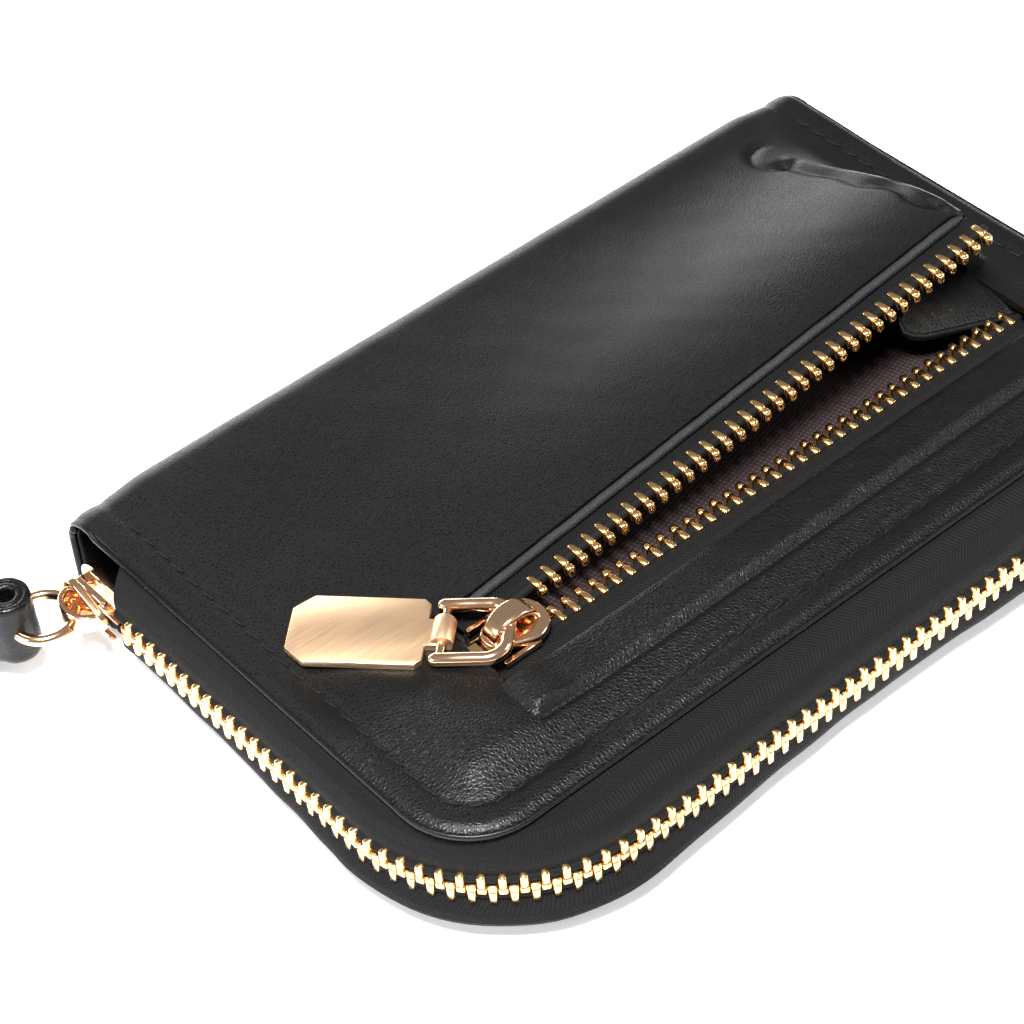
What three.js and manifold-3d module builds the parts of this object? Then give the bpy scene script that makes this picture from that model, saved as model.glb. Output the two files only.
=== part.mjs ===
// A zip-around wristlet wallet in black leather, with a zipped coin pocket on its front cover.
// Millimetres. X runs along the long side, Y from the front edge to the spine, Z up.
// The origin is the centre of the back cover's underside, on the surface the wallet lies on.
import * as THREE from "three";
import { mergeVertices } from "three/addons/utils/BufferGeometryUtils.js";
import Module from "manifold-3d";

const wasm = await Module();
wasm.setup();

// ---------------------------------------------------------------- driving dimensions

const COVER_LENGTH = 132;
const COVER_WIDTH = 84;
const BODY_HEIGHT = 18;
const LEATHER = 1.2;
const BOARD = 0.6;
const LINING = 0.5;
const POCKET_SHEET = 0.6;
const GAP = 0.3;
const CORNER_RADIUS = 11;
const SPINE_RUN = 7;
const SPINE_BEND_RADIUS = 5;

const TAPE = 0.6;
const SIDE_BULGE = 3;
const FRONT_BULGE = 6.4;
const CHAIN_CORNER_RADIUS = 24;
const TAPE_UNDER_COVER = 5;
const TAPE_BEND = 3;
const BOARD_INSET = 7;
const CHAIN_RAISE = 0.5;

const MAIN_PITCH = 2.54;
const MAIN_TOOTH = { width: 0.94, reach: 0.9, leg: 2.4, bar: 1.2, thick: 2.3 };
const COIN_PITCH = 2.35;
const COIN_TOOTH = { width: 0.86, reach: 0.85, leg: 2.4, bar: 1.15, thick: 2.2 };
const TOOTH_FLANK = 0.08;

const MAIN_SLIDER_LENGTH = 10.5;
const COIN_SLIDER_LENGTH = 9;
const SLIDER_PLATE = 1;
const SLIDER_FLANGE = 0.7;
const SLIDER_SHOULDER = 0.9;
const SLIDER_SLOT = 1.2;
const TAPE_CLEARANCE = 1.6;
const CROWN_LENGTH = 8.2;
const CROWN_HEIGHT = 3.6;
const CROWN_WALL = 1.2;
const CROWN_WIDTH = 2.4;
const CROWN_SHIFT = -0.3;

const MAIN_SLIDER_FROM_SPINE = 3.8;

const WINDOW_LEFT = 22;
const WINDOW_RIGHT = 13;
const WINDOW_FRONT = 17;
const WINDOW_BACK = 8;
const COIN_CHAIN_FROM_FRONT = 24.2;
const COIN_CHAIN_DEPTH = 0.9;
const COIN_SLIDER_FROM_LEFT = 24.2;
const FLAP_ROW_SHIFT = 3;
const FLAP_BINDING = 2.5;
const BINDING_FROM_WINDOW = 4.5;
const FLAP_TAPE = 5.4;
const FLAP_LIFT_DEG = 7.4;
const COIN_BAG_DEPTH = 3.7;
const COIN_BAG_MARGIN = 3;

const PULL_HEADING_DEG = 133;
const LINK_LENGTH = 8.4;
const LINK_WIDTH = 9.4;
const LINK_OFFSET = 2.2;
const LINK_WIRE = 0.8;
const TAB_LENGTH = 18;
const TAB_WIDTH = 11.5;
const TAB_THICK = 1.1;
const TAB_CHAMFER = 2.6;
const TAB_TONGUE_WIDTH = 4.6;
const TAB_EYE_WALL = 0.55;

const RING_RADIUS = 4.8;
const RING_WIRE = 0.8;
const RING_CENTRE_HEIGHT = 9;
const STRAP_HEADING_DEG = 144;
const STRAP_LENGTH = 148;
const STRAP_WIDTH = 10.5;
const STRAP_END_WIDTH = 6;
const STRAP_THICK = 2;
const STRAP_FOLD_ROOM = 1.65;
const STRAP_LOOP_HALF_WIDTH = 23;
const RIVET_FROM_FOLD = 13;
const RIVET_CAP_RADIUS = 2.2;
const RIVET_CAP_HEIGHT = 1;
const RIVET_POST_RADIUS = 0.9;

// ---------------------------------------------------------------- derived places

const LEFT = -COVER_LENGTH / 2;
const RIGHT = COVER_LENGTH / 2;
const FRONT = -COVER_WIDTH / 2;
const SPINE = COVER_WIDTH / 2;
const CHAIN_LEVEL = BODY_HEIGHT / 2 + CHAIN_RAISE;
const PANEL_BACK = SPINE - SPINE_RUN;
const BOARD_LEVEL = LEATHER + GAP;
const LINING_LEVEL = BOARD_LEVEL + BOARD + GAP;
const BACK_POCKET_LEVEL = LINING_LEVEL + LINING + GAP;
const BAG_TOP = BODY_HEIGHT - LEATHER - BOARD - 2 * GAP;
const FRONT_LINING_LEVEL = BAG_TOP - COIN_BAG_DEPTH - GAP - LINING;
const WINDOW = {
  left: LEFT + WINDOW_LEFT,
  right: RIGHT - WINDOW_RIGHT,
  front: FRONT + WINDOW_FRONT,
  back: SPINE - WINDOW_BACK,
};
const COIN_CHAIN_Y = FRONT + COIN_CHAIN_FROM_FRONT;
const COIN_CHAIN_Z = BODY_HEIGHT - COIN_CHAIN_DEPTH;
const COIN_SLIDER_X = LEFT + COIN_SLIDER_FROM_LEFT + COIN_SLIDER_LENGTH / 2;
const COIN_ROW_START = COIN_SLIDER_X + COIN_SLIDER_LENGTH / 2 + 0.4;
const COIN_ROW_END = WINDOW.right - 0.6;
const LIFT = THREE.MathUtils.degToRad(FLAP_LIFT_DEG);
const MAIN_SLIDER_Y = SPINE - MAIN_SLIDER_FROM_SPINE - MAIN_SLIDER_LENGTH / 2;
const CHAIN_BACK = MAIN_SLIDER_Y - MAIN_SLIDER_LENGTH / 2 - 0.5;
const CHAIN_SIDE = RIGHT + SIDE_BULGE;
const CHAIN_FRONT = FRONT - FRONT_BULGE;
const TAPE_BACK = SPINE - SPINE_RUN - 2;

// ---------------------------------------------------------------- finishes

const finish = (color, roughness, metalness) =>
  new THREE.MeshStandardMaterial({ color, roughness, metalness });
const FINISHES = {
  leather: () => finish(0x1e1e20, 0.45, 0),
  tape: () => finish(0x151517, 0.9, 0),
  lining: () => finish(0x3a2126, 0.85, 0),
  board: () => finish(0x8a8072, 0.9, 0),
  brass: () => finish(0xd9b25c, 0.3, 1),
  rose: () => finish(0xe8b98c, 0.2, 1),
};

const wallet = new THREE.Group();
wallet.name = "wristlet_wallet";

// Adds a geometry or a manifold-3d solid to a group as one named mesh.
function add(name, shape, material, group = wallet) {
  const geometry = shape.isBufferGeometry ? shape : geometryOf(shape);
  geometry.computeVertexNormals();
  const mesh = new THREE.Mesh(geometry, FINISHES[material]());
  mesh.name = name;
  group.add(mesh);
  return mesh;
}

// ---------------------------------------------------------------- solids

function solidOf(geometry) {
  const bare = geometry.clone();
  bare.deleteAttribute("normal");
  bare.deleteAttribute("uv");
  const merged = mergeVertices(bare, 1e-4);
  return new wasm.Manifold(
    new wasm.Mesh({
      numProp: 3,
      vertProperties: merged.attributes.position.array,
      triVerts: new Uint32Array(merged.index.array),
    }),
  );
}

function geometryOf(solid) {
  const mesh = solid.getMesh();
  const geometry = new THREE.BufferGeometry();
  geometry.setAttribute("position", new THREE.BufferAttribute(mesh.vertProperties, 3));
  geometry.setIndex(new THREE.BufferAttribute(mesh.triVerts, 1));
  return geometry.toNonIndexed();
}

const join = (...geometries) => geometries.map(solidOf).reduce((a, b) => a.add(b));
const cut = (base, ...tools) => tools.map(solidOf).reduce((a, b) => a.subtract(b), solidOf(base));

function block(x0, x1, y0, y1, z0, z1) {
  const box = new THREE.BoxGeometry(x1 - x0, y1 - y0, z1 - z0);
  return box.translate((x0 + x1) / 2, (y0 + y1) / 2, (z0 + z1) / 2);
}

function prism(shape, z0, depth) {
  const geometry = new THREE.ExtrudeGeometry(shape, {
    depth,
    bevelEnabled: false,
    curveSegments: 6,
  });
  return geometry.translate(0, 0, z0);
}

// A closed solid from a row of stations. Each station lists pairs of points, one on the outer
// face and one on the inner face, from one long edge of the strip to the other.
function strip(stations, closed = false) {
  const rows = stations.length;
  const columns = stations[0].length;
  const positions = [];
  const at = (row, column, face) => stations[row % rows][column][face];
  const quad = (a, b, c, d) => [a, b, c, a, c, d].forEach((p) => positions.push(p.x, p.y, p.z));
  const steps = closed ? rows : rows - 1;
  for (let r = 0; r < steps; r++) {
    for (let c = 0; c < columns - 1; c++) {
      quad(at(r, c, 0), at(r + 1, c, 0), at(r + 1, c + 1, 0), at(r, c + 1, 0));
      quad(at(r, c, 1), at(r, c + 1, 1), at(r + 1, c + 1, 1), at(r + 1, c, 1));
    }
    const last = columns - 1;
    quad(at(r, 0, 1), at(r + 1, 0, 1), at(r + 1, 0, 0), at(r, 0, 0));
    quad(at(r, last, 0), at(r + 1, last, 0), at(r + 1, last, 1), at(r, last, 1));
  }
  if (!closed) {
    for (let c = 0; c < columns - 1; c++) {
      quad(at(0, c, 0), at(0, c + 1, 0), at(0, c + 1, 1), at(0, c, 1));
      const end = rows - 1;
      quad(at(end, c, 1), at(end, c + 1, 1), at(end, c + 1, 0), at(end, c, 0));
    }
  }
  const geometry = new THREE.BufferGeometry();
  geometry.setAttribute("position", new THREE.Float32BufferAttribute(positions, 3));
  return facingOut(geometry);
}

// Turns a closed geometry's triangles round when they face inwards.
function facingOut(geometry) {
  const p = geometry.attributes.position.array;
  let volume = 0;
  for (let i = 0; i < p.length; i += 9) {
    const cross = [
      p[i + 4] * p[i + 8] - p[i + 5] * p[i + 7],
      p[i + 5] * p[i + 6] - p[i + 3] * p[i + 8],
      p[i + 3] * p[i + 7] - p[i + 4] * p[i + 6],
    ];
    volume += p[i] * cross[0] + p[i + 1] * cross[1] + p[i + 2] * cross[2];
  }
  if (volume > 0) return geometry;
  for (let i = 0; i < p.length; i += 9) {
    for (let k = 0; k < 3; k++) [p[i + 3 + k], p[i + 6 + k]] = [p[i + 6 + k], p[i + 3 + k]];
  }
  return geometry;
}

// ---------------------------------------------------------------- covers

// A cover's outline: large round corners at the front, small ones at the spine.
function coverOutline(inset, back = PANEL_BACK) {
  const x = RIGHT - inset;
  const y0 = FRONT + inset;
  const y1 = back - inset / 4;
  const r = Math.max(CORNER_RADIUS - inset, 1.5);
  const shape = new THREE.Shape();
  shape.moveTo(-x + r, y0);
  shape.lineTo(x - r, y0);
  shape.absarc(x - r, y0 + r, r, -Math.PI / 2, 0, false);
  shape.lineTo(x, y1);
  shape.lineTo(-x, y1);
  shape.lineTo(-x, y0 + r);
  shape.absarc(-x + r, y0 + r, r, Math.PI, 1.5 * Math.PI, false);
  return shape;
}

function makeBackCover() {
  add("back_cover_leather", prism(coverOutline(0), 0, LEATHER), "leather");
  add("back_cover_board", prism(coverOutline(BOARD_INSET), BOARD_LEVEL, BOARD), "board");
  add("back_lining", prism(coverOutline(BOARD_INSET), LINING_LEVEL, LINING), "lining");
}

function makeFrontCover() {
  const top = BODY_HEIGHT - LEATHER;
  // the window runs to the back edge, so the frame is open there and its end pieces are kept short
  const frame = coverOutline(0);
  const opening = block(
    WINDOW.left, WINDOW.right, WINDOW.front, PANEL_BACK + 1, top - 1, BODY_HEIGHT + 1,
  );
  add("front_cover_leather", cut(prism(frame, top, LEATHER), opening), "leather");
  const board = prism(coverOutline(BOARD_INSET), top - GAP - BOARD, BOARD);
  const boardWindow = block(
    WINDOW.left - 1, WINDOW.right + 1, WINDOW.front - 3, WINDOW.back - 6, top - 2, top,
  );
  add("front_cover_board", cut(board, boardWindow), "board");
  add("front_lining", prism(coverOutline(BOARD_INSET), FRONT_LINING_LEVEL, LINING), "lining");
}

// Card pockets are sheets that step back from the front edge, so each card's top edge shows.
function makeCardPockets() {
  const sheets = 2;
  const step = 12;
  for (let i = 0; i < sheets; i++) {
    const x = RIGHT - BOARD_INSET - 2;
    const back = PANEL_BACK - 4;
    const front = FRONT + BOARD_INSET + 6 + step * i;
    const rise = (POCKET_SHEET + GAP) * i;
    const lower = BACK_POCKET_LEVEL + rise;
    const upper = FRONT_LINING_LEVEL - GAP - POCKET_SHEET - rise;
    const name = `card_pocket_${i + 1}`;
    add(`back_${name}`, block(-x, x, front, back, lower, lower + POCKET_SHEET), "leather");
    add(`front_${name}`, block(-x, x, front, back, upper, upper + POCKET_SHEET), "leather");
  }
}

// The leather that bends round the spine from one cover to the other.
function makeSpine() {
  const r = SPINE_BEND_RADIUS;
  const middleLine = new THREE.Path();
  const y0 = PANEL_BACK + GAP;
  const offset = LEATHER / 2;
  const y1 = SPINE - offset;
  middleLine.moveTo(y0, offset);
  middleLine.lineTo(y1 - r, offset);
  middleLine.absarc(y1 - r, offset + r, r, -Math.PI / 2, 0, false);
  middleLine.lineTo(y1, BODY_HEIGHT - offset - r);
  middleLine.absarc(y1 - r, BODY_HEIGHT - offset - r, r, 0, Math.PI / 2, false);
  middleLine.lineTo(y0, BODY_HEIGHT - offset);
  const points = middleLine.getPoints(6);
  const section = points.map((p, i) => {
    const before = points[Math.max(i - 1, 0)];
    const after = points[Math.min(i + 1, points.length - 1)];
    const along = after.clone().sub(before).normalize();
    const out = new THREE.Vector2(along.y, -along.x).multiplyScalar(offset);
    return [p.clone().add(out), p.clone().sub(out)];
  });
  const station = (x) => section.map((pair) => pair.map((p) => new THREE.Vector3(x, p.x, p.y)));
  add("spine_leather", strip([station(LEFT), station(RIGHT)]), "leather");
}

// ---------------------------------------------------------------- main zip

// A line up the left side, along the front and up the right side, with round corners.
function threeSides(side, front, back, radius) {
  const path = new THREE.Path();
  path.moveTo(-side, back);
  path.lineTo(-side, front + radius);
  path.absarc(-side + radius, front + radius, radius, Math.PI, 1.5 * Math.PI, false);
  path.lineTo(side - radius, front);
  path.absarc(side - radius, front + radius, radius, -Math.PI / 2, 0, false);
  path.lineTo(side, back);
  return path;
}

// The same line as points, with equal steps round each corner.
function threeSidesPoints(side, front, back, radius) {
  const steps = 7;
  const points = [new THREE.Vector2(-side, back)];
  for (const [x, from] of [[-side + radius, Math.PI], [side - radius, 1.5 * Math.PI]]) {
    for (let i = 0; i <= steps; i++) {
      const angle = from + (i / steps) * (Math.PI / 2);
      const p = new THREE.Vector2(Math.cos(angle), Math.sin(angle)).multiplyScalar(radius);
      points.push(p.add(new THREE.Vector2(x, front + radius)));
    }
  }
  points.push(new THREE.Vector2(side, back));
  return points;
}

function tapeStations(side) {
  const chain = threeSidesPoints(CHAIN_SIDE, CHAIN_FRONT, TAPE_BACK, CHAIN_CORNER_RADIUS);
  const hidden = threeSidesPoints(
    RIGHT - TAPE_UNDER_COVER, FRONT + TAPE_UNDER_COVER, TAPE_BACK,
    CORNER_RADIUS - TAPE_UNDER_COVER + 2,
  );
  // share of the way out from under the cover, and height above the chain's middle
  const top = BODY_HEIGHT / 2 - side * CHAIN_RAISE - LEATHER - GAP;
  const chainEdge = MAIN_TOOTH.leg + GAP;
  const bend = Math.min(TAPE_BEND, 0.69 * (top - chainEdge));
  const profile = [
    [0, top, 1],
    [0.5, top - 0.05 * bend, 0.9],
    [0.86, top - 0.37 * bend, 0.55],
    [1, top - bend, 0],
    [1, chainEdge, 0],
  ];
  return chain.map((outer, i) => {
    const out = outer.clone().sub(hidden[i]);
    const direction = out.clone().normalize();
    return profile.map(([share, height, tilt]) => {
      const middle = hidden[i].clone().addScaledVector(out, share);
      const half = TAPE / 2;
      const sideways = direction.clone().multiplyScalar(half * (1 - tilt));
      const a = middle.clone().add(sideways);
      const b = middle.clone().sub(sideways);
      return [
        new THREE.Vector3(a.x, a.y, CHAIN_LEVEL + side * height),
        new THREE.Vector3(b.x, b.y, CHAIN_LEVEL + side * (height - TAPE * tilt)),
      ];
    });
  });
}

// A row of zip teeth on one bar. place(s) gives the chain's middle and its outward direction at
// distance s, and across is the direction from the chain's middle towards this row's tape.
function toothRow(place, across, tooth, pitch, first, count) {
  const stations = [];
  const half = tooth.width / 2;
  const station = (s, from) => {
    const { middle, out } = place(s);
    const thick = out.clone().multiplyScalar(tooth.thick / 2);
    return [from, tooth.leg].map((reach) => {
      const p = middle.clone().addScaledVector(across, reach);
      return [p.clone().add(thick), p.clone().sub(thick)];
    });
  };
  for (let i = 0; i < count; i++) {
    const s = first + i * pitch;
    stations.push(station(s - half - TOOTH_FLANK, tooth.bar));
    stations.push(station(s - half, -tooth.reach));
    stations.push(station(s + half, -tooth.reach));
    stations.push(station(s + half + TOOTH_FLANK, tooth.bar));
  }
  return strip(stations);
}

function makeMainZip() {
  const path = threeSides(CHAIN_SIDE, CHAIN_FRONT, CHAIN_BACK, CHAIN_CORNER_RADIUS);
  const length = path.getLength();
  const place = (s) => {
    const u = THREE.MathUtils.clamp(s / length, 0, 1);
    const p = path.getPoint(u);
    const t = path.getTangent(u);
    return {
      middle: new THREE.Vector3(p.x, p.y, CHAIN_LEVEL),
      out: new THREE.Vector3(t.y, -t.x, 0).negate(),
    };
  };
  const count = Math.floor(length / MAIN_PITCH) - 1;
  const start = MAIN_PITCH / 2;
  const up = new THREE.Vector3(0, 0, 1);
  const down = new THREE.Vector3(0, 0, -1);
  const lower = toothRow(place, down, MAIN_TOOTH, MAIN_PITCH, start, count);
  const upper = toothRow(place, up, MAIN_TOOTH, MAIN_PITCH, start + MAIN_PITCH / 2, count);
  add("main_zip_lower_teeth", lower, "brass");
  add("main_zip_upper_teeth", upper, "brass");
  add("main_zip_lower_tape", strip(tapeStations(-1)), "tape");
  add("main_zip_upper_tape", strip(tapeStations(1)), "tape");
  const y = CHAIN_BACK + GAP;
  const half = MAIN_TOOTH.thick / 2;
  const stop = block(
    CHAIN_SIDE - half, CHAIN_SIDE + half, y, y + 3, CHAIN_LEVEL - MAIN_TOOTH.leg, CHAIN_LEVEL + 1,
  );
  add("main_zip_bottom_stop", stop, "brass");
}

// ---------------------------------------------------------------- coin pocket

// How far the coin pocket's flap stands up above the cover.
function flapRise(x, y) {
  const hinge = COIN_SLIDER_X;
  const lift = Math.max(x - hinge, 0) * Math.tan(LIFT);
  const front = flapFront();
  const back = PANEL_BACK;
  const share = THREE.MathUtils.clamp((y - front) / (back - front), 0, 1);
  return (lift * (1 + Math.cos(Math.PI * share))) / 2;
}

const flapRowBack = COIN_CHAIN_Y + FLAP_ROW_SHIFT + COIN_TOOTH.leg + GAP;
const flapFront = () => flapRowBack + FLAP_TAPE + GAP;

function makeCoinFlap() {
  const columns = 7;
  const along = (share) => THREE.MathUtils.lerp(COIN_SLIDER_X, WINDOW.right - 1, share);
  const xs = [WINDOW.left + GAP, along(0), along(0.4), along(0.7), along(1)];
  const stations = xs.map((x) => {
    const pairs = [];
    for (let c = 0; c < columns; c++) {
      const y = THREE.MathUtils.lerp(flapFront(), PANEL_BACK, c / (columns - 1));
      const z = BODY_HEIGHT + flapRise(x, y);
      pairs.push([new THREE.Vector3(x, y, z), new THREE.Vector3(x, y, z - LEATHER)]);
    }
    return pairs;
  });
  add("coin_flap_leather", strip(stations), "leather");
}

// The leather leaf that closes the flap's right side, from the cover up to the flap.
function makeCoinGusset() {
  const stations = [];
  const steps = 6;
  const x = WINDOW.right - 1 + GAP;
  for (let i = 0; i < steps; i++) {
    const y = THREE.MathUtils.lerp(flapFront() + 1, PANEL_BACK - 10, i / (steps - 1));
    const z0 = BODY_HEIGHT - LEATHER;
    const z1 = z0 + LEATHER / 2 + flapRise(WINDOW.right - 1, y);
    stations.push([z0, z1].map((z) => [
      new THREE.Vector3(x, y, z),
      new THREE.Vector3(x + LINING - 0.1, y, z),
    ]));
  }
  add("coin_pocket_gusset", strip(stations), "leather");
}

function makeCoinBag() {
  const m = COIN_BAG_MARGIN;
  const outer = [WINDOW.left - m, WINDOW.right + m, WINDOW.front - m, PANEL_BACK - m];
  const bottom = BAG_TOP - COIN_BAG_DEPTH;
  const shell = block(...outer, bottom, BAG_TOP);
  const hollow = block(
    outer[0] + LINING, outer[1] - LINING, outer[2] + LINING, outer[3] - LINING,
    bottom + LINING, BAG_TOP + 1,
  );
  add("coin_pocket_bag", cut(shell, hollow), "lining");
}

function makeCoinZip(lip) {
  const y = COIN_CHAIN_Y;
  const z = COIN_CHAIN_Z;
  const level = new THREE.Vector3(0, 0, 1);
  const place = (s) => ({ middle: new THREE.Vector3(s, y, z), out: level });
  const towardsFront = new THREE.Vector3(0, -1, 0);
  const towardsSpine = new THREE.Vector3(0, 1, 0);
  const first = COIN_ROW_START + COIN_PITCH / 2;
  const count = Math.floor((COIN_ROW_END - COIN_ROW_START) / COIN_PITCH) - 1;
  const front = toothRow(place, towardsFront, COIN_TOOTH, COIN_PITCH, first, count);
  add("coin_zip_front_teeth", front, "brass");

  const edge = y - COIN_TOOTH.leg - GAP;
  const low = BODY_HEIGHT - LEATHER - GAP - TAPE;
  const high = z - TAPE / 2;
  const section = [
    [WINDOW.front - 2.4, low], [WINDOW.front + 0.4, low], [WINDOW.front + 1.7, high], [edge, high],
  ];
  const station = (x) => section.map(([v, h]) => [
    new THREE.Vector3(x, v, h + TAPE),
    new THREE.Vector3(x, v, h),
  ]);
  const tape = strip([station(WINDOW.left + GAP), station(WINDOW.right - GAP)]);
  add("coin_zip_front_tape", tape, "tape");

  const stopX = WINDOW.left + GAP;
  const stopHalf = COIN_TOOTH.thick / 2;
  const stop = block(stopX, stopX + 1.4, y - 1.8, y + 1.8, z - stopHalf, z + stopHalf);
  add("coin_zip_bottom_stop", stop, "brass");

  // the flap's half of the zip is drawn closed, about the slider, and its group lifts it
  const half = COIN_PITCH / 2;
  const rowY = y + FLAP_ROW_SHIFT;
  const flapPlace = (s) => ({ middle: new THREE.Vector3(s, rowY, 0), out: level });
  const row = toothRow(
    flapPlace, towardsSpine, COIN_TOOTH, COIN_PITCH, first + half - COIN_SLIDER_X, count,
  );
  add("coin_zip_flap_teeth", row, "brass", lip);
  const x0 = COIN_ROW_START - COIN_SLIDER_X;
  const x1 = COIN_ROW_END - COIN_SLIDER_X;
  const back = flapRowBack + FLAP_TAPE;
  const flapTape = block(x0, x1, flapRowBack, back, -TAPE / 2, TAPE / 2);
  add("coin_zip_flap_tape", flapTape, "tape", lip);
  const bindingLeft = WINDOW.left + BINDING_FROM_WINDOW - COIN_SLIDER_X;
  const bottom = TAPE / 2 + GAP;
  const binding = block(
    bindingLeft, x1, back - FLAP_BINDING, back, bottom, bottom + LEATHER / 2,
  );
  add("coin_flap_binding", binding, "leather", lip);
}

// ---------------------------------------------------------------- sliders

// A slider in its own frame: x towards its wide, neck end, y across the chain, z outwards.
function sliderBody(tooth, length, shoulder = SLIDER_SHOULDER) {
  const inside = tooth.leg + GAP + 0.1;
  const narrow = inside + SLIDER_FLANGE;
  const wide = narrow + shoulder;
  const channel = tooth.thick / 2 + GAP;
  const half = length / 2;
  const outline = new THREE.Shape();
  outline.moveTo(-half, -narrow);
  outline.lineTo(half * 0.3, -wide);
  outline.quadraticCurveTo(half * 1.02, -wide, half, 0);
  outline.quadraticCurveTo(half * 1.02, wide, half * 0.3, wide);
  outline.lineTo(-half, narrow);
  const plate = (z) => prism(outline, z, SLIDER_PLATE);
  const reach = channel - SLIDER_SLOT / 2 + 0.1;
  const flange = (side, z) => block(
    -half, half * 0.3, Math.min(side * inside, side * narrow),
    Math.max(side * inside, side * narrow), z, z + reach,
  );
  const neckX = half * 0.66;
  const neck = block(neckX - 0.8, neckX + 0.8, -0.8, 0.8, -channel - 0.1, channel + 0.1);
  const slot = SLIDER_SLOT / 2;
  return join(
    plate(channel),
    plate(-channel - SLIDER_PLATE),
    flange(1, slot),
    flange(-1, slot),
    flange(1, -slot - reach),
    flange(-1, -slot - reach),
    neck,
  );
}

// The arch on a slider that holds its pull.
function sliderCrown(tooth) {
  const foot = tooth.thick / 2 + GAP + SLIDER_PLATE + GAP;
  const half = CROWN_LENGTH / 2;
  const hole = half - CROWN_WALL;
  const arch = new THREE.Shape();
  arch.absellipse(0, 0, half, CROWN_HEIGHT, 0, Math.PI, false);
  arch.lineTo(-hole, 0);
  arch.absellipse(0, 0, hole, CROWN_HEIGHT - CROWN_WALL, Math.PI, 0, true);
  arch.lineTo(half, 0);
  const geometry = prism(arch, -CROWN_WIDTH / 2, CROWN_WIDTH);
  return geometry.rotateX(Math.PI / 2).translate(CROWN_SHIFT, 0, foot);
}

const crownCentre = (tooth) => tooth.thick / 2 + 2 * GAP + SLIDER_PLATE + 0.85;

function makeCoinSlider() {
  const group = new THREE.Group();
  group.position.set(COIN_SLIDER_X, COIN_CHAIN_Y, COIN_CHAIN_Z);
  add("coin_slider_body", sliderBody(COIN_TOOTH, COIN_SLIDER_LENGTH), "rose", group);
  add("coin_slider_crown", sliderCrown(COIN_TOOTH), "rose", group);
  wallet.add(group);
}

// The pull lies on the cover: a wire link through the crown, and a plate tab on the link.
function makeCoinPull() {
  const group = new THREE.Group();
  const height = COIN_CHAIN_Z + crownCentre(COIN_TOOTH);
  const heading = THREE.MathUtils.degToRad(PULL_HEADING_DEG);
  const aside = new THREE.Vector3(-Math.sin(heading), Math.cos(heading), 0);
  group.position.set(COIN_SLIDER_X + CROWN_SHIFT, COIN_CHAIN_Y, height);
  group.position.addScaledVector(aside, LINK_OFFSET);
  group.rotation.z = heading;
  const knuckle = LINK_WIRE + GAP;
  const eyeRadius = knuckle + TAB_EYE_WALL;
  const drop = height - BODY_HEIGHT - eyeRadius - GAP;
  const slope = Math.asin(drop / LINK_LENGTH);
  const linkGroup = new THREE.Group();
  linkGroup.rotation.y = slope;

  const w = LINK_WIDTH / 2;
  const r = 2;
  const flat = new THREE.Path();
  flat.moveTo(0, -w + r);
  flat.lineTo(0, w - r);
  flat.absarc(r, w - r, r, Math.PI, Math.PI / 2, true);
  flat.lineTo(LINK_LENGTH - r, w);
  flat.absarc(LINK_LENGTH - r, w - r, r, Math.PI / 2, 0, true);
  flat.lineTo(LINK_LENGTH, -w + r);
  flat.absarc(LINK_LENGTH - r, -w + r, r, 0, -Math.PI / 2, true);
  flat.lineTo(r, -w);
  flat.absarc(r, -w + r, r, -Math.PI / 2, -Math.PI, true);
  const points = flat.getPoints(3);
  points.pop();
  const stations = points.map((p, i) => {
    const before = points[(i + points.length - 1) % points.length];
    const after = points[(i + 1) % points.length];
    const along = after.clone().sub(before).normalize();
    const out = new THREE.Vector3(-along.y, along.x, 0).multiplyScalar(LINK_WIRE);
    const middle = new THREE.Vector3(p.x, p.y, 0);
    return [-1, 0, 1].map((level) => {
      const width = level === 0 ? 1 : 0.45;
      const rise = new THREE.Vector3(0, 0, level * LINK_WIRE);
      return [
        middle.clone().addScaledVector(out, width).add(rise),
        middle.clone().addScaledVector(out, -width).add(rise),
      ];
    });
  });
  add("coin_pull_link", strip(stations, true), "rose", linkGroup);
  group.add(linkGroup);

  const tab = new THREE.Group();
  tab.position.set(LINK_LENGTH * Math.cos(slope), 0, -drop);
  const start = eyeRadius + GAP;
  const c = TAB_CHAMFER;
  const half = TAB_WIDTH / 2;
  const plate = new THREE.Shape();
  plate.moveTo(start, -half + 1);
  plate.lineTo(start + 1, -half);
  plate.lineTo(start + TAB_LENGTH - c, -half);
  plate.lineTo(start + TAB_LENGTH, -half + c);
  plate.lineTo(start + TAB_LENGTH, half - c);
  plate.lineTo(start + TAB_LENGTH - c, half);
  plate.lineTo(start + 1, half);
  plate.lineTo(start, half - 1);
  const eye = new THREE.Shape();
  eye.absarc(0, 0, eyeRadius, 0, 2 * Math.PI, false);
  const bore = new THREE.Path();
  bore.absarc(0, 0, knuckle, 0, 2 * Math.PI, true);
  eye.holes.push(bore);
  const tongue = prism(eye, -TAB_TONGUE_WIDTH / 2 + 0.3, TAB_TONGUE_WIDTH - 0.6);
  tongue.rotateX(Math.PI / 2);
  const shank = block(
    0, start + 0.5, -TAB_TONGUE_WIDTH / 2, TAB_TONGUE_WIDTH / 2,
    -eyeRadius, -eyeRadius + TAB_EYE_WALL,
  );
  const body = join(prism(plate, -eyeRadius, TAB_THICK), shank, tongue);
  add("coin_pull_tab", body, "rose", tab);
  group.add(tab);
  wallet.add(group);
}

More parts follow.
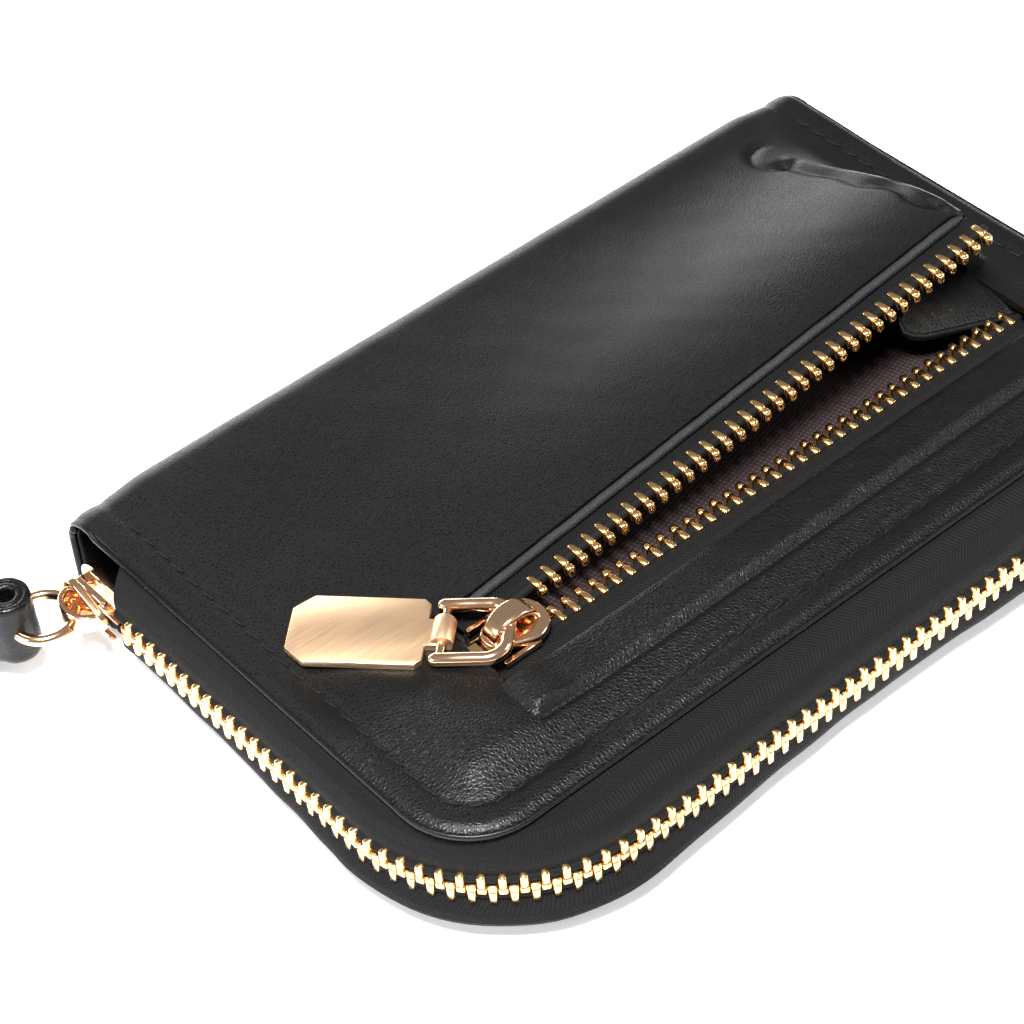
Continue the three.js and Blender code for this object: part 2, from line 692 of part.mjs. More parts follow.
function makeMainSlider() {
  const group = new THREE.Group();
  const basis = new THREE.Matrix4().makeBasis(
    new THREE.Vector3(0, 1, 0),
    new THREE.Vector3(0, 0, -1),
    new THREE.Vector3(-1, 0, 0),
  );
  group.setRotationFromMatrix(basis);
  group.position.set(-CHAIN_SIDE, MAIN_SLIDER_Y, CHAIN_LEVEL);
  // in a thin body the slider's shoulder is smaller, so that it clears the bend of the tape
  const room = BODY_HEIGHT / 2 - CHAIN_RAISE - LEATHER - TAPE - MAIN_TOOTH.leg - SLIDER_FLANGE;
  const shoulder = Math.min(SLIDER_SHOULDER, Math.max(room - TAPE_CLEARANCE, 0.1));
  const body = sliderBody(MAIN_TOOTH, MAIN_SLIDER_LENGTH, shoulder);
  add("main_slider_body", body, "rose", group);
  add("main_slider_crown", sliderCrown(MAIN_TOOTH), "rose", group);
  wallet.add(group);
}

// ---------------------------------------------------------------- ring and wrist strap

const strapHeading = THREE.MathUtils.degToRad(STRAP_HEADING_DEG);
const crownPoint = new THREE.Vector3(
  -CHAIN_SIDE - crownCentre(MAIN_TOOTH), MAIN_SLIDER_Y + CROWN_SHIFT, RING_CENTRE_HEIGHT,
);

function makeRing() {
  const group = new THREE.Group();
  group.position.copy(crownPoint);
  group.rotation.z = strapHeading;
  const torus = new THREE.TorusGeometry(RING_RADIUS, RING_WIRE, 8, 28);
  torus.rotateX(Math.PI / 2).translate(RING_RADIUS, 0, 0);
  add("strap_ring", torus, "brass", group);
  wallet.add(group);
}

// The wrist strap stands on its edge: it folds round the ring, is riveted, and opens to a loop.
function makeStrap() {
  const group = new THREE.Group();
  const far = 2 * RING_RADIUS;
  group.position.set(crownPoint.x, crownPoint.y, 0);
  group.rotation.z = strapHeading;
  const fold = RING_WIRE + STRAP_FOLD_ROOM + STRAP_THICK / 2;
  const ply = STRAP_THICK / 2 + 0.2;
  const loop = STRAP_LOOP_HALF_WIDTH;
  const side = [
    [-fold + 0.9, fold * 0.86],
    [2, fold],
    [7.5, ply + 0.3],
    [RIVET_FROM_FOLD, ply],
    [20, ply + 0.6],
    [45, loop * 0.52],
    [80, loop * 0.95],
    [112, loop * 0.92],
    [136, loop * 0.56],
  ];
  const there = side.map(([x, y]) => new THREE.Vector3(far + x, y, 0));
  const back = side.map(([x, y]) => new THREE.Vector3(far + x, -y, 0)).reverse();
  const tip = new THREE.Vector3(far + STRAP_LENGTH - fold, 0, 0);
  const start = new THREE.Vector3(far - fold, 0, 0);
  const line = new THREE.CatmullRomCurve3([start, ...there, tip, ...back], true, "centripetal");
  const count = 72;
  const stations = [];
  for (let i = 0; i < count; i++) {
    const p = line.getPointAt(i / count);
    const t = line.getTangentAt(i / count);
    const out = new THREE.Vector3(-t.y, t.x, 0).multiplyScalar(STRAP_THICK / 2);
    const away = THREE.MathUtils.smoothstep(p.x, far + 1, far + RIVET_FROM_FOLD - 4);
    const height = THREE.MathUtils.lerp(STRAP_END_WIDTH, STRAP_WIDTH, away);
    const bottom = (1 - away) * (RING_CENTRE_HEIGHT - STRAP_END_WIDTH / 2);
    stations.push([bottom, bottom + height].map((z) => [
      p.clone().add(out).setZ(z),
      p.clone().sub(out).setZ(z),
    ]));
  }
  const rivetX = far + RIVET_FROM_FOLD;
  const rivetZ = STRAP_WIDTH / 2;
  const hole = new THREE.CylinderGeometry(
    RIVET_POST_RADIUS + GAP, RIVET_POST_RADIUS + GAP, 8 * STRAP_THICK, 12,
  );
  hole.translate(rivetX, 0, rivetZ);
  add("wrist_strap", cut(strip(stations, true), hole), "leather", group);

  const face = ply + STRAP_THICK / 2 + GAP;
  const r = RIVET_CAP_RADIUS;
  const h = RIVET_CAP_HEIGHT;
  const profile = [
    [0, -face - h], [r * 0.6, -face - h * 0.8], [r, -face], [RIVET_POST_RADIUS, -face],
    [RIVET_POST_RADIUS, face], [r, face], [r * 0.6, face + h * 0.8], [0, face + h],
  ].map(([x, y]) => new THREE.Vector2(x, y));
  const rivet = new THREE.LatheGeometry(profile, 14);
  add("strap_rivet", rivet.translate(rivetX, 0, rivetZ), "brass", group);
  wallet.add(group);
}

// ---------------------------------------------------------------- assembly

makeBackCover();
makeFrontCover();
makeCardPockets();
makeSpine();
makeMainZip();
makeCoinFlap();
makeCoinGusset();
makeCoinBag();
const lip = new THREE.Group();
lip.position.set(COIN_SLIDER_X, 0, COIN_CHAIN_Z);
lip.rotation.y = -LIFT;
wallet.add(lip);
makeCoinZip(lip);
makeCoinSlider();
makeCoinPull();
makeMainSlider();
makeRing();
makeStrap();

export default wallet;
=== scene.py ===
"""The looks of a black leather zip-around wristlet wallet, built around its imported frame.

A piece is made in millimetres and becomes metres when it is finished. X runs along the long
side, Y from the front edge to the spine, Z up. The origin is under the middle of the back cover.
"""

import logging
import math
from collections.abc import Callable, Iterable, Sequence
from dataclasses import dataclass
from enum import Enum

import bmesh
import bpy
from mathutils import Matrix, Vector


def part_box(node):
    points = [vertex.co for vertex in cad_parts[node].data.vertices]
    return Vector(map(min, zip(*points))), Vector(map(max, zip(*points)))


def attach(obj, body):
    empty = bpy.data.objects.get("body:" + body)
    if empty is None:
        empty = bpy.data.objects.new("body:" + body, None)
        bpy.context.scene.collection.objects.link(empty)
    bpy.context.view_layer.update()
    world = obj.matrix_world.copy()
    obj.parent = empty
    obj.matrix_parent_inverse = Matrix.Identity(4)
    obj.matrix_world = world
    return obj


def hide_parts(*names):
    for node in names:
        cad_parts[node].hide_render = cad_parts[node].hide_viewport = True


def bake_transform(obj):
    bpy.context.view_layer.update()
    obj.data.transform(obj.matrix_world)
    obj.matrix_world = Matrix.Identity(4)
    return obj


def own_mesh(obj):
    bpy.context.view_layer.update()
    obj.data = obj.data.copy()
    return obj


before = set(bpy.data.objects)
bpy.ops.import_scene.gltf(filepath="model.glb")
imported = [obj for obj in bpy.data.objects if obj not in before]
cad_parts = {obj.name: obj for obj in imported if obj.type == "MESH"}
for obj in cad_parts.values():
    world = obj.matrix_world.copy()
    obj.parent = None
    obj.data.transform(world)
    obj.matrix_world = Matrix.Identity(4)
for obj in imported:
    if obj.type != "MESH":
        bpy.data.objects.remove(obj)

MM = 0.001
UP = Vector((0, 0, 1))
log = logging.getLogger("wallet")


# ------------------------------------------------------------------ numbers


def smooth(low: float, high: float, value: float) -> float:
    """Rises smoothly from 0 at low to 1 at high."""
    share = min(max((value - low) / (high - low), 0), 1)
    return share * share * (3 - 2 * share)


def bell(offset: float, width: float) -> float:
    """A bump of height 1 at offset 0 that has died away a few widths off."""
    return math.exp(-((offset / width) ** 2))


def lerp(low: float, high: float, share: float) -> float:
    """The value that lies a share of the way from low to high."""
    return low + (high - low) * share


def ripple(x: float, y: float) -> float:
    """A soft uneven swell between about -1 and 1, with waves 5 to 20 mm long.

    Args:
        x: Where along the wallet, in millimetres.
        y: Where across it, in millimetres.

    Returns:
        The swell's height there.
    """
    a = math.sin(0.31 * x + 1.7 * math.sin(0.13 * y + 0.4))
    b = math.sin(0.43 * y - 0.9 * math.sin(0.21 * x + 2.0))
    return 0.6 * a * b + 0.4 * math.sin(0.77 * x + 0.52 * y + a)


# ------------------------------------------------------------------ materials


def linear(code: str) -> tuple[float, float, float, float]:
    """Turns an sRGB hex colour into the linear one that a shader takes.

    Args:
        code: The colour as six hex digits after a hash.

    Returns:
        Red, green, blue and an alpha of 1.
    """
    parts = [int(code[i : i + 2], 16) / 255 for i in (1, 3, 5)]
    red, green, blue = (
        p / 12.92 if p <= 0.04045 else ((p + 0.055) / 1.055) ** 2.4 for p in parts
    )
    return red, green, blue, 1.0


def add(
    tree: bpy.types.NodeTree, kind: str, inputs: dict | None = None, **settings: object
) -> bpy.types.Node:
    """Adds a shader node with its settings, values and links.

    Args:
        tree: The material's node tree.
        kind: The node's type name.
        inputs: For each input, by name or number, a value or the output that feeds it.
        **settings: The node's own options.

    Returns:
        The new node.
    """
    node = tree.nodes.new(kind)
    for name, value in settings.items():
        setattr(node, name, value)
    for name, value in (inputs or {}).items():
        if isinstance(value, bpy.types.NodeSocket):
            tree.links.new(value, node.inputs[name])
        else:
            node.inputs[name].default_value = value
    return node


def blank(name: str) -> tuple[bpy.types.Material, bpy.types.NodeTree, bpy.types.Node]:
    """A new material with only its shader and output.

    Args:
        name: What the finish is.

    Returns:
        The material, its node tree and its shader.
    """
    material = bpy.data.materials.new(name)
    material.use_nodes = True
    tree = material.node_tree
    shader = next(n for n in tree.nodes if n.type == "BSDF_PRINCIPLED")
    return material, tree, shader


@dataclass(frozen=True)
class Leather:
    """Chrome-tanned cowhide, dyed through and given a thin glazed coat.

    The coat gives a soft grey sheen, and the pressed grain breaks it into fine cells.
    """

    name: str
    colour: str = "#030303"
    worn: str = "#060606"
    grain_mm: float = 0.52
    depth_mm: float = 0.05
    roughness: float = 0.33
    calm_above_y: float | None = None
    calm_over: float = 6.0
    calm_share: float = 0.45
    bends_per_mm: float = 0.9
    bend_share: float = 0.0004
    pores_per_mm: float = 5.2
    pore_share: float = 0.35
    swells_per_mm: float = 0.045
    groove_share: float = 0.32
    groove_matt: float = 0.14
    ior: float = 1.3

    def build(self) -> bpy.types.Material:
        """Makes the material.

        Returns:
            The finished material.
        """
        material, tree, shader = blank(self.name)
        place = add(tree, "ShaderNodeTexCoord").outputs["Object"]
        # cells of the pressed grain, bent a little so that no two are alike
        bend = add(
            tree, "ShaderNodeTexNoise",
            {"Vector": place, "Scale": self.bends_per_mm / MM, "Detail": 2.0},
        )
        moved = add(
            tree,
            "ShaderNodeMix",
            {"Factor": self.bend_share, 4: place, 5: bend.outputs["Color"]},
            data_type="VECTOR",
        )
        cells = add(
            tree,
            "ShaderNodeTexVoronoi",
            {"Vector": moved.outputs[1], "Scale": 1 / (self.grain_mm * MM)},
            feature="DISTANCE_TO_EDGE",
        )
        domes = add(
            tree, "ShaderNodeMapRange", {0: cells.outputs["Distance"], 1: 0.0, 2: self.groove_share},
            interpolation_type="SMOOTHSTEP",
        )
        pores = add(
            tree, "ShaderNodeTexNoise",
            {"Vector": place, "Scale": self.pores_per_mm / MM, "Detail": 3.0},
        )
        height = add(
            tree, "ShaderNodeMath",
            {0: pores.outputs["Fac"], 1: self.pore_share, 2: domes.outputs[0]},
            operation="MULTIPLY_ADD",
        )
        # the hide's own slow changes, which make the grain and the colour uneven
        swell = add(
            tree, "ShaderNodeTexNoise",
            {"Vector": place, "Scale": self.swells_per_mm / MM, "Detail": 3.0},
        )
        strength = add(
            tree, "ShaderNodeMapRange", {0: swell.outputs["Fac"], 3: 0.45, 4: 0.95}
        ).outputs[0]
        if self.calm_above_y is not None:
            split = add(tree, "ShaderNodeSeparateXYZ", {0: place})
            low = self.calm_above_y * MM
            calm = add(
                tree, "ShaderNodeMapRange",
                {0: split.outputs["Y"], 1: low, 2: low + self.calm_over * MM, 3: 1.0,
                 4: self.calm_share},
                interpolation_type="SMOOTHSTEP",
            )
            strength = add(
                tree, "ShaderNodeMath", {0: strength, 1: calm.outputs[0]}, operation="MULTIPLY"
            ).outputs[0]
        bump = add(
            tree, "ShaderNodeBump",
            {"Strength": strength, "Distance": self.depth_mm * MM, "Height": height.outputs[0]},
        )
        tint = add(
            tree, "ShaderNodeMix",
            {"Factor": swell.outputs["Fac"], 6: linear(self.colour), 7: linear(self.worn)},
            data_type="RGBA",
        )
        gloss = add(
            tree, "ShaderNodeMapRange",
            {0: domes.outputs[0], 3: self.roughness + self.groove_matt, 4: self.roughness},
        )
        tree.links.new(tint.outputs[2], shader.inputs["Base Color"])
        tree.links.new(gloss.outputs[0], shader.inputs["Roughness"])
        tree.links.new(bump.outputs[0], shader.inputs["Normal"])
        shader.inputs["IOR"].default_value = self.ior
        return material


@dataclass(frozen=True)
class Herringbone:
    """Polyester zip tape, woven in a herringbone and dyed black.

    Ribs lean one way and then the other in bands along the tape, which reads as soft chevrons.
    """

    name: str
    # the crests of the ribs are painted lighter than their hollows: a painted highlight on the
    # crests and painted shade in the hollows
    colour: str = "#040405"
    crest_highlight: str = "#0a0a0b"
    rib_mm: float = 0.55
    band_mm: float = 1.5
    slant: float = 0.9
    fuzz_per_mm: float = 3.2
    fuzz_share: float = 2.6
    depth_mm: float = 0.09
    painted_shade_below: float = 0.4
    roughness: float = 0.8
    ior: float = 1.26

    def build(self) -> bpy.types.Material:
        """Makes the material. The tape's UV map is in millimetres, along and across.

        Returns:
            The finished material.
        """
        material, tree, shader = blank(self.name)
        place = add(tree, "ShaderNodeTexCoord").outputs["UV"]
        split = add(tree, "ShaderNodeSeparateXYZ", {0: place})
        lean = add(
            tree, "ShaderNodeMath", {0: split.outputs["Y"], 1: self.band_mm}, operation="PINGPONG"
        )
        slope = add(
            tree, "ShaderNodeMath", {0: lean.outputs[0], 1: self.slant, 2: split.outputs["X"]},
            operation="MULTIPLY_ADD",
        )
        turn = add(
            tree, "ShaderNodeMath", {0: slope.outputs[0], 1: 2 * math.pi / self.rib_mm},
            operation="MULTIPLY",
        )
        rib = add(tree, "ShaderNodeMath", {0: turn.outputs[0]}, operation="SINE")
        fuzz = add(
            tree, "ShaderNodeTexNoise", {"Vector": place, "Scale": self.fuzz_per_mm, "Detail": 4.0}
        )
        height = add(
            tree, "ShaderNodeMath",
            {0: fuzz.outputs["Fac"], 1: self.fuzz_share, 2: rib.outputs[0]},
            operation="MULTIPLY_ADD",
        )
        bump = add(
            tree, "ShaderNodeBump",
            {"Strength": 0.8, "Distance": self.depth_mm * MM, "Height": height.outputs[0]},
        )
        # the colour follows the height of the ribs, as painted shade in the hollows and a painted
        # highlight on the crests
        share = add(
            tree, "ShaderNodeMapRange",
            {0: height.outputs[0], 1: self.painted_shade_below, 2: self.fuzz_share},
        )
        tint = add(
            tree, "ShaderNodeMix",
            {"Factor": share.outputs[0], 6: linear(self.colour), 7: linear(self.crest_highlight)},
            data_type="RGBA",
        )
        tree.links.new(tint.outputs[2], shader.inputs["Base Color"])
        tree.links.new(bump.outputs[0], shader.inputs["Normal"])
        shader.inputs["Roughness"].default_value = self.roughness
        shader.inputs["IOR"].default_value = self.ior
        return material


@dataclass(frozen=True)
class Weave:
    """Plain-woven polyester lining, dark maroon.

    The crossing threads give rows of small raised dots, and their tops are a painted highlight. Real
    threads are about half a millimetre apart, and these are drawn coarser so that the weave shows.
    """

    name: str
    colour: str = "#120709"
    # a painted highlight on the tops of the crossing threads
    crest_highlight: str = "#2a1417"
    thread_mm: float = 0.95
    depth_mm: float = 0.08
    heading_deg: float = 30.0
    roughness: float = 0.6

    def build(self) -> bpy.types.Material:
        """Makes the material.

        Returns:
            The finished material.
        """
        material, tree, shader = blank(self.name)
        place = add(tree, "ShaderNodeTexCoord").outputs["Object"]
        turned = add(
            tree, "ShaderNodeMapping",
            {"Vector": place, "Rotation": (0, 0, math.radians(self.heading_deg))},
        )
        split = add(tree, "ShaderNodeSeparateXYZ", {0: turned.outputs[0]})
        waves = []
        for axis in ("X", "Y"):
            turn = add(
                tree, "ShaderNodeMath",
                {0: split.outputs[axis], 1: 2 * math.pi / (self.thread_mm * MM)},
                operation="MULTIPLY",
            )
            waves.append(add(tree, "ShaderNodeMath", {0: turn.outputs[0]}, operation="SINE"))
        both = add(
            tree, "ShaderNodeMath", {0: waves[0].outputs[0], 1: waves[1].outputs[0]},
            operation="MULTIPLY",
        )
        dots = add(tree, "ShaderNodeMapRange", {0: both.outputs[0], 1: -0.2, 2: 0.9})
        bump = add(
            tree, "ShaderNodeBump",
            {"Strength": 0.7, "Distance": self.depth_mm * MM, "Height": dots.outputs[0]},
        )
        # the dots' tops are painted lighter: a painted highlight
        tint = add(
            tree, "ShaderNodeMix",
            {"Factor": dots.outputs[0], 6: linear(self.colour), 7: linear(self.crest_highlight)},
            data_type="RGBA",
        )
        tree.links.new(tint.outputs[2], shader.inputs["Base Color"])
        tree.links.new(bump.outputs[0], shader.inputs["Normal"])
        shader.inputs["Roughness"].default_value = self.roughness
        return material


@dataclass(frozen=True)
class Plating:
    """Zinc alloy or brass under a thin gold plate, polished in a barrel or brushed.

    Barrel polishing leaves soft waves in the reflections, and brushing leaves fine lines.
    """

    name: str
    colour: str
    roughness: float
    brushed_heading: float | None = None
    stretch: float = 0.02
    lines_per_mm: float = 9.0
    waves_per_mm: float = 0.7
    depth_mm: float = 0.01

    def build(self) -> bpy.types.Material:
        """Makes the material.

        Returns:
            The finished material.
        """
        material, tree, shader = blank(self.name)
        place = add(tree, "ShaderNodeTexCoord").outputs["Object"]
        scale = (1.0, 1.0, 1.0)
        turn, per_mm, spread = 0.0, self.waves_per_mm, 0.05
        if self.brushed_heading is not None:
            scale = (self.stretch, 1.0, 1.0)
            turn = -math.radians(self.brushed_heading)
            per_mm, spread = self.lines_per_mm, 0.08
        # the mapping stretches the noise along the brushing
        lines = add(
            tree, "ShaderNodeMapping", {"Vector": place, "Rotation": (0, 0, turn), "Scale": scale}
        )
        noise = add(
            tree, "ShaderNodeTexNoise",
            {"Vector": lines.outputs[0], "Scale": per_mm / MM, "Detail": 3.0},
        )
        bump = add(
            tree, "ShaderNodeBump",
            {"Strength": 0.25, "Distance": self.depth_mm * MM, "Height": noise.outputs["Fac"]},
        )
        gloss = add(
            tree, "ShaderNodeMapRange",
            {0: noise.outputs["Fac"], 3: self.roughness - spread, 4: self.roughness + spread},
        )
        tree.links.new(gloss.outputs[0], shader.inputs["Roughness"])
        tree.links.new(bump.outputs[0], shader.inputs["Normal"])
        shader.inputs["Base Color"].default_value = linear(self.colour)
        shader.inputs["Metallic"].default_value = 1.0
        return material


@dataclass(frozen=True)
class Thread:
    """Bonded nylon sewing thread, twisted from three plies, black.

    The twist gives slanting ridges about 0.35 mm apart, at this scale of the wave pattern.
    """

    name: str
    colour: str = "#08080a"
    wave_scale: float = 900.0
    depth_mm: float = 0.05
    roughness: float = 0.6
    ior: float = 1.25

    def build(self) -> bpy.types.Material:
        """Makes the material.

        Returns:
            The finished material.
        """
        material, tree, shader = blank(self.name)
        place = add(tree, "ShaderNodeTexCoord").outputs["Object"]
        wave = add(
            tree, "ShaderNodeTexWave",
            {"Vector": place, "Scale": self.wave_scale, "Distortion": 1.5},
            bands_direction="DIAGONAL",
        )
        bump = add(
            tree, "ShaderNodeBump",
            {"Strength": 0.5, "Distance": self.depth_mm * MM, "Height": wave.outputs["Fac"]},
        )
        tree.links.new(bump.outputs[0], shader.inputs["Normal"])
        shader.inputs["Base Color"].default_value = linear(self.colour)
        shader.inputs["Roughness"].default_value = self.roughness
        shader.inputs["IOR"].default_value = self.ior
        return material


@dataclass(frozen=True)
class Board:
    """Grey-brown fibre board, pressed from pulp, that stiffens a cover.

    The pulp's clumps give a dull surface with small darker flecks.
    """

    name: str
    colour: str = "#8a8072"
    fleck: str = "#6e6558"
    clumps_per_mm: float = 1.4
    depth_mm: float = 0.05
    roughness: float = 0.85

    def build(self) -> bpy.types.Material:
        """Makes the material.

        Returns:
            The finished material.
        """
        material, tree, shader = blank(self.name)
        place = add(tree, "ShaderNodeTexCoord").outputs["Object"]
        pulp = add(
            tree, "ShaderNodeTexNoise",
            {"Vector": place, "Scale": self.clumps_per_mm / MM, "Detail": 5.0},
        )
        tint = add(
            tree, "ShaderNodeMix",
            {"Factor": pulp.outputs["Fac"], 6: linear(self.colour), 7: linear(self.fleck)},
            data_type="RGBA",
        )
        bump = add(
            tree, "ShaderNodeBump",
            {"Strength": 0.4, "Distance": self.depth_mm * MM, "Height": pulp.outputs["Fac"]},
        )
        tree.links.new(tint.outputs[2], shader.inputs["Base Color"])
        tree.links.new(bump.outputs[0], shader.inputs["Normal"])
        shader.inputs["Roughness"].default_value = self.roughness
        return material


class Finish(Enum):
    """Every finish on the wallet."""

    LEATHER = Leather("glazed black cowhide", calm_above_y=-20.0)
    STRAP_LEATHER = Leather("strap cowhide", grain_mm=0.7, depth_mm=0.02, roughness=0.26)
    ROLLED_EDGE = Leather("painted leather edge", grain_mm=0.5, depth_mm=0.01, roughness=0.3)
    SUEDED_EDGE = Leather(
        "rubbed turned edge", colour="#161618", worn="#2a2a2d", grain_mm=0.3, depth_mm=0.1,
        roughness=0.55,
    )
    TAPE = Herringbone("herringbone zip tape")
    LINING = Weave("woven maroon lining")
    YELLOW_GOLD = Plating("polished yellow gold plate", "#dfb67c", 0.23)
    ROSE_GOLD = Plating("polished rose gold plate", "#f0c5a0", 0.15)
    SATIN_ROSE_GOLD = Plating("brushed rose gold plate", "#f0caa2", 0.38, brushed_heading=133.0)
    THREAD = Thread("black bonded thread")
    BOARD = Board("grey fibre board")

    @property
    def material(self) -> bpy.types.Material:
        """The finish's material, made the first time that it is asked for."""
        return bpy.data.materials.get(self.value.name) or self.value.build()


class Slot(Enum):
    """The record's material slots."""

    LEATHER = "black_leather"
    TAPE = "zip_tape"
    LINING = "lining_cloth"
    BOARD = "stiffener_board"
    YELLOW_GOLD = "yellow_gold"
    ROSE_GOLD = "rose_gold"


# ------------------------------------------------------------------ making pieces


def sweep(
    stations: Sequence[Sequence[Vector]],
    around: bool = False,
    along: bool = False,
    across_mm: Sequence[float] | None = None,
    along_mm: Sequence[float] | None = None,
) -> bmesh.types.BMesh:
    """Extrudes one row of points through a series of stations.

    Args:
        stations: The row's points at each station.
        around: Whether each row closes on itself.
        along: Whether the last station joins the first.
        across_mm: Where given, the second UV coordinate of each point of the row.
        along_mm: Where given, the first UV coordinate of each station.

    Returns:
        The swept surface, or a closed body where the row closes and its ends are capped.
    """
    shape = bmesh.new()
    place = shape.verts.layers.int.new("place")
    stop = shape.verts.layers.int.new("stop")
    row = [shape.verts.new(p) for p in stations[0]]
    for i, vert in enumerate(row):
        vert[place] = i
    edges = [shape.edges.new(pair) for pair in zip(row, row[1:])]
    if around:
        edges.append(shape.edges.new((row[-1], row[0])))
    first = list(edges)
    for count, station in enumerate(stations[1:], start=1):
        grown = bmesh.ops.extrude_edge_only(shape, edges=edges)["geom"]
        fresh = {g for g in grown if isinstance(g, bmesh.types.BMVert)}
        for vert in fresh:
            vert.co = station[vert[place]]
            vert[stop] = count
        edges = [
            g for g in grown if isinstance(g, bmesh.types.BMEdge) and fresh.issuperset(g.verts)
        ]
    if along:
        bmesh.ops.bridge_loops(shape, edges=first + edges)
    elif around:
        for rim in (first, edges):
            bmesh.ops.contextual_create(shape, geom=rim)
    if across_mm and along_mm:
        layer = shape.loops.layers.uv.new("UVMap")
        for face in shape.faces:
            for loop in face.loops:
                loop[layer].uv = (along_mm[loop.vert[stop]], across_mm[loop.vert[place]])
    if around:
        bmesh.ops.recalc_face_normals(shape, faces=shape.faces)
    return shape


def ring_of(
    centre: Vector, across: Vector, rise: Vector, half_width: float, half_height: float,
    count: int = 12, squareness: float = 1.0,
) -> list[Vector]:
    """Points round an oval or a rounded rectangle.

    Args:
        centre: The middle of the section.
        across: The direction of its width.
        rise: The direction of its height.
        half_width: Half its width.
        half_height: Half its height.
        count: How many points it has.
        squareness: 1 for an oval, less for a rounded rectangle.

    Returns:
        The points in order.
    """
    points = []
    for i in range(count):
        angle = 2 * math.pi * (i + 0.5) / count
        c, s = math.cos(angle), math.sin(angle)
        points.append(
            centre
            + across * (half_width * math.copysign(abs(c) ** squareness, c))
            + rise * (half_height * math.copysign(abs(s) ** squareness, s))
        )
    return points


def tube(
    path: Sequence[Vector], radius: float, closed: bool = False, count: int = 10
) -> bmesh.types.BMesh:
    """A round wire along a path, with rounded ends where it is open.

    Args:
        path: The points that its middle follows.
        radius: The wire's radius.
        closed: Whether the path joins its own start.
        count: How many points its section has.

    Returns:
        The wire as a closed body.
    """
    stations = []
    last = len(path) - 1
    for i, point in enumerate(path):
        before = path[i - 1] if i or closed else path[0]
        after = path[(i + 1) % len(path)] if i < last or closed else path[last]
        heading = (after - before).normalized()
        side = heading.cross(UP) if abs(heading.z) < 0.9 else heading.cross(Vector((1, 0, 0)))
        side.normalize()
        turns = [(0.0, 1.0)]
        if not closed and i == 0:
            turns = [(-0.92, 0.4), (-0.62, 0.78), (0.0, 1.0)]
        elif not closed and i == last:
            turns = [(0.0, 1.0), (0.62, 0.78), (0.92, 0.4)]
        for reach, size in turns:
            centre = point + heading * (reach * radius)
            width = radius * size
            stations.append(ring_of(centre, side, side.cross(heading), width, width, count))
    return sweep(stations, around=True, along=closed)


def block(
    low: Sequence[float], high: Sequence[float], round_mm: float = 0.0, segments: int = 2
) -> bmesh.types.BMesh:
    """A box between two corners, with its edges rounded.

    Args:
        low: The corner with the smallest coordinates.
        high: The opposite corner.
        round_mm: How much its edges are rounded, or 0 for sharp ones.
        segments: How many steps the rounding has.

    Returns:
        The box.
    """
    shape = bmesh.new()
    middle = [(a + b) / 2 for a, b in zip(low, high)]
    size = [b - a for a, b in zip(low, high)]
    bmesh.ops.create_cube(shape, size=1.0, matrix=Matrix.LocRotScale(middle, None, size))
    if round_mm:
        soften(shape, shape.edges, round_mm, segments)
    return shape


def soften(
    shape: bmesh.types.BMesh, edges: Iterable[bmesh.types.BMEdge], size: float, segments: int = 2
) -> None:
    """Rounds the given edges.

    Args:
        shape: What they belong to.
        edges: The edges.
        size: How far the rounding reaches from each edge.
        segments: How many steps it has.
    """
    bmesh.ops.bevel(
        shape, geom=list(edges), offset=size, offset_type="OFFSET", affect="EDGES",
        segments=segments, profile=0.5, material=-1, clamp_overlap=True,
    )


def merged(*shapes: bmesh.types.BMesh) -> bmesh.types.BMesh:
    """Puts several shapes into one and frees them.

    Args:
        *shapes: The shapes.

    Returns:
        One shape that holds them all.
    """
    whole = bmesh.new()
    for shape in shapes:
        spare = bpy.data.meshes.new("spare")
        shape.to_mesh(spare)
        shape.free()
        whole.from_mesh(spare)
        bpy.data.meshes.remove(spare)
    return whole


def stamped(template: bmesh.types.BMesh, places: Iterable[Matrix]) -> bmesh.types.BMesh:
    """Copies a shape to each of several places, and frees it.

    Args:
        template: The shape.
        places: Where each copy stands.

    Returns:
        One shape that holds all the copies.
    """
    spare = bpy.data.meshes.new("spare")
    template.to_mesh(spare)
    template.free()
    whole = bmesh.new()
    count = len(spare.vertices)
    for place in places:
        whole.from_mesh(spare)
        whole.verts.ensure_lookup_table()
        bmesh.ops.transform(whole, matrix=place, verts=whole.verts[-count:])
    bpy.data.meshes.remove(spare)
    return whole


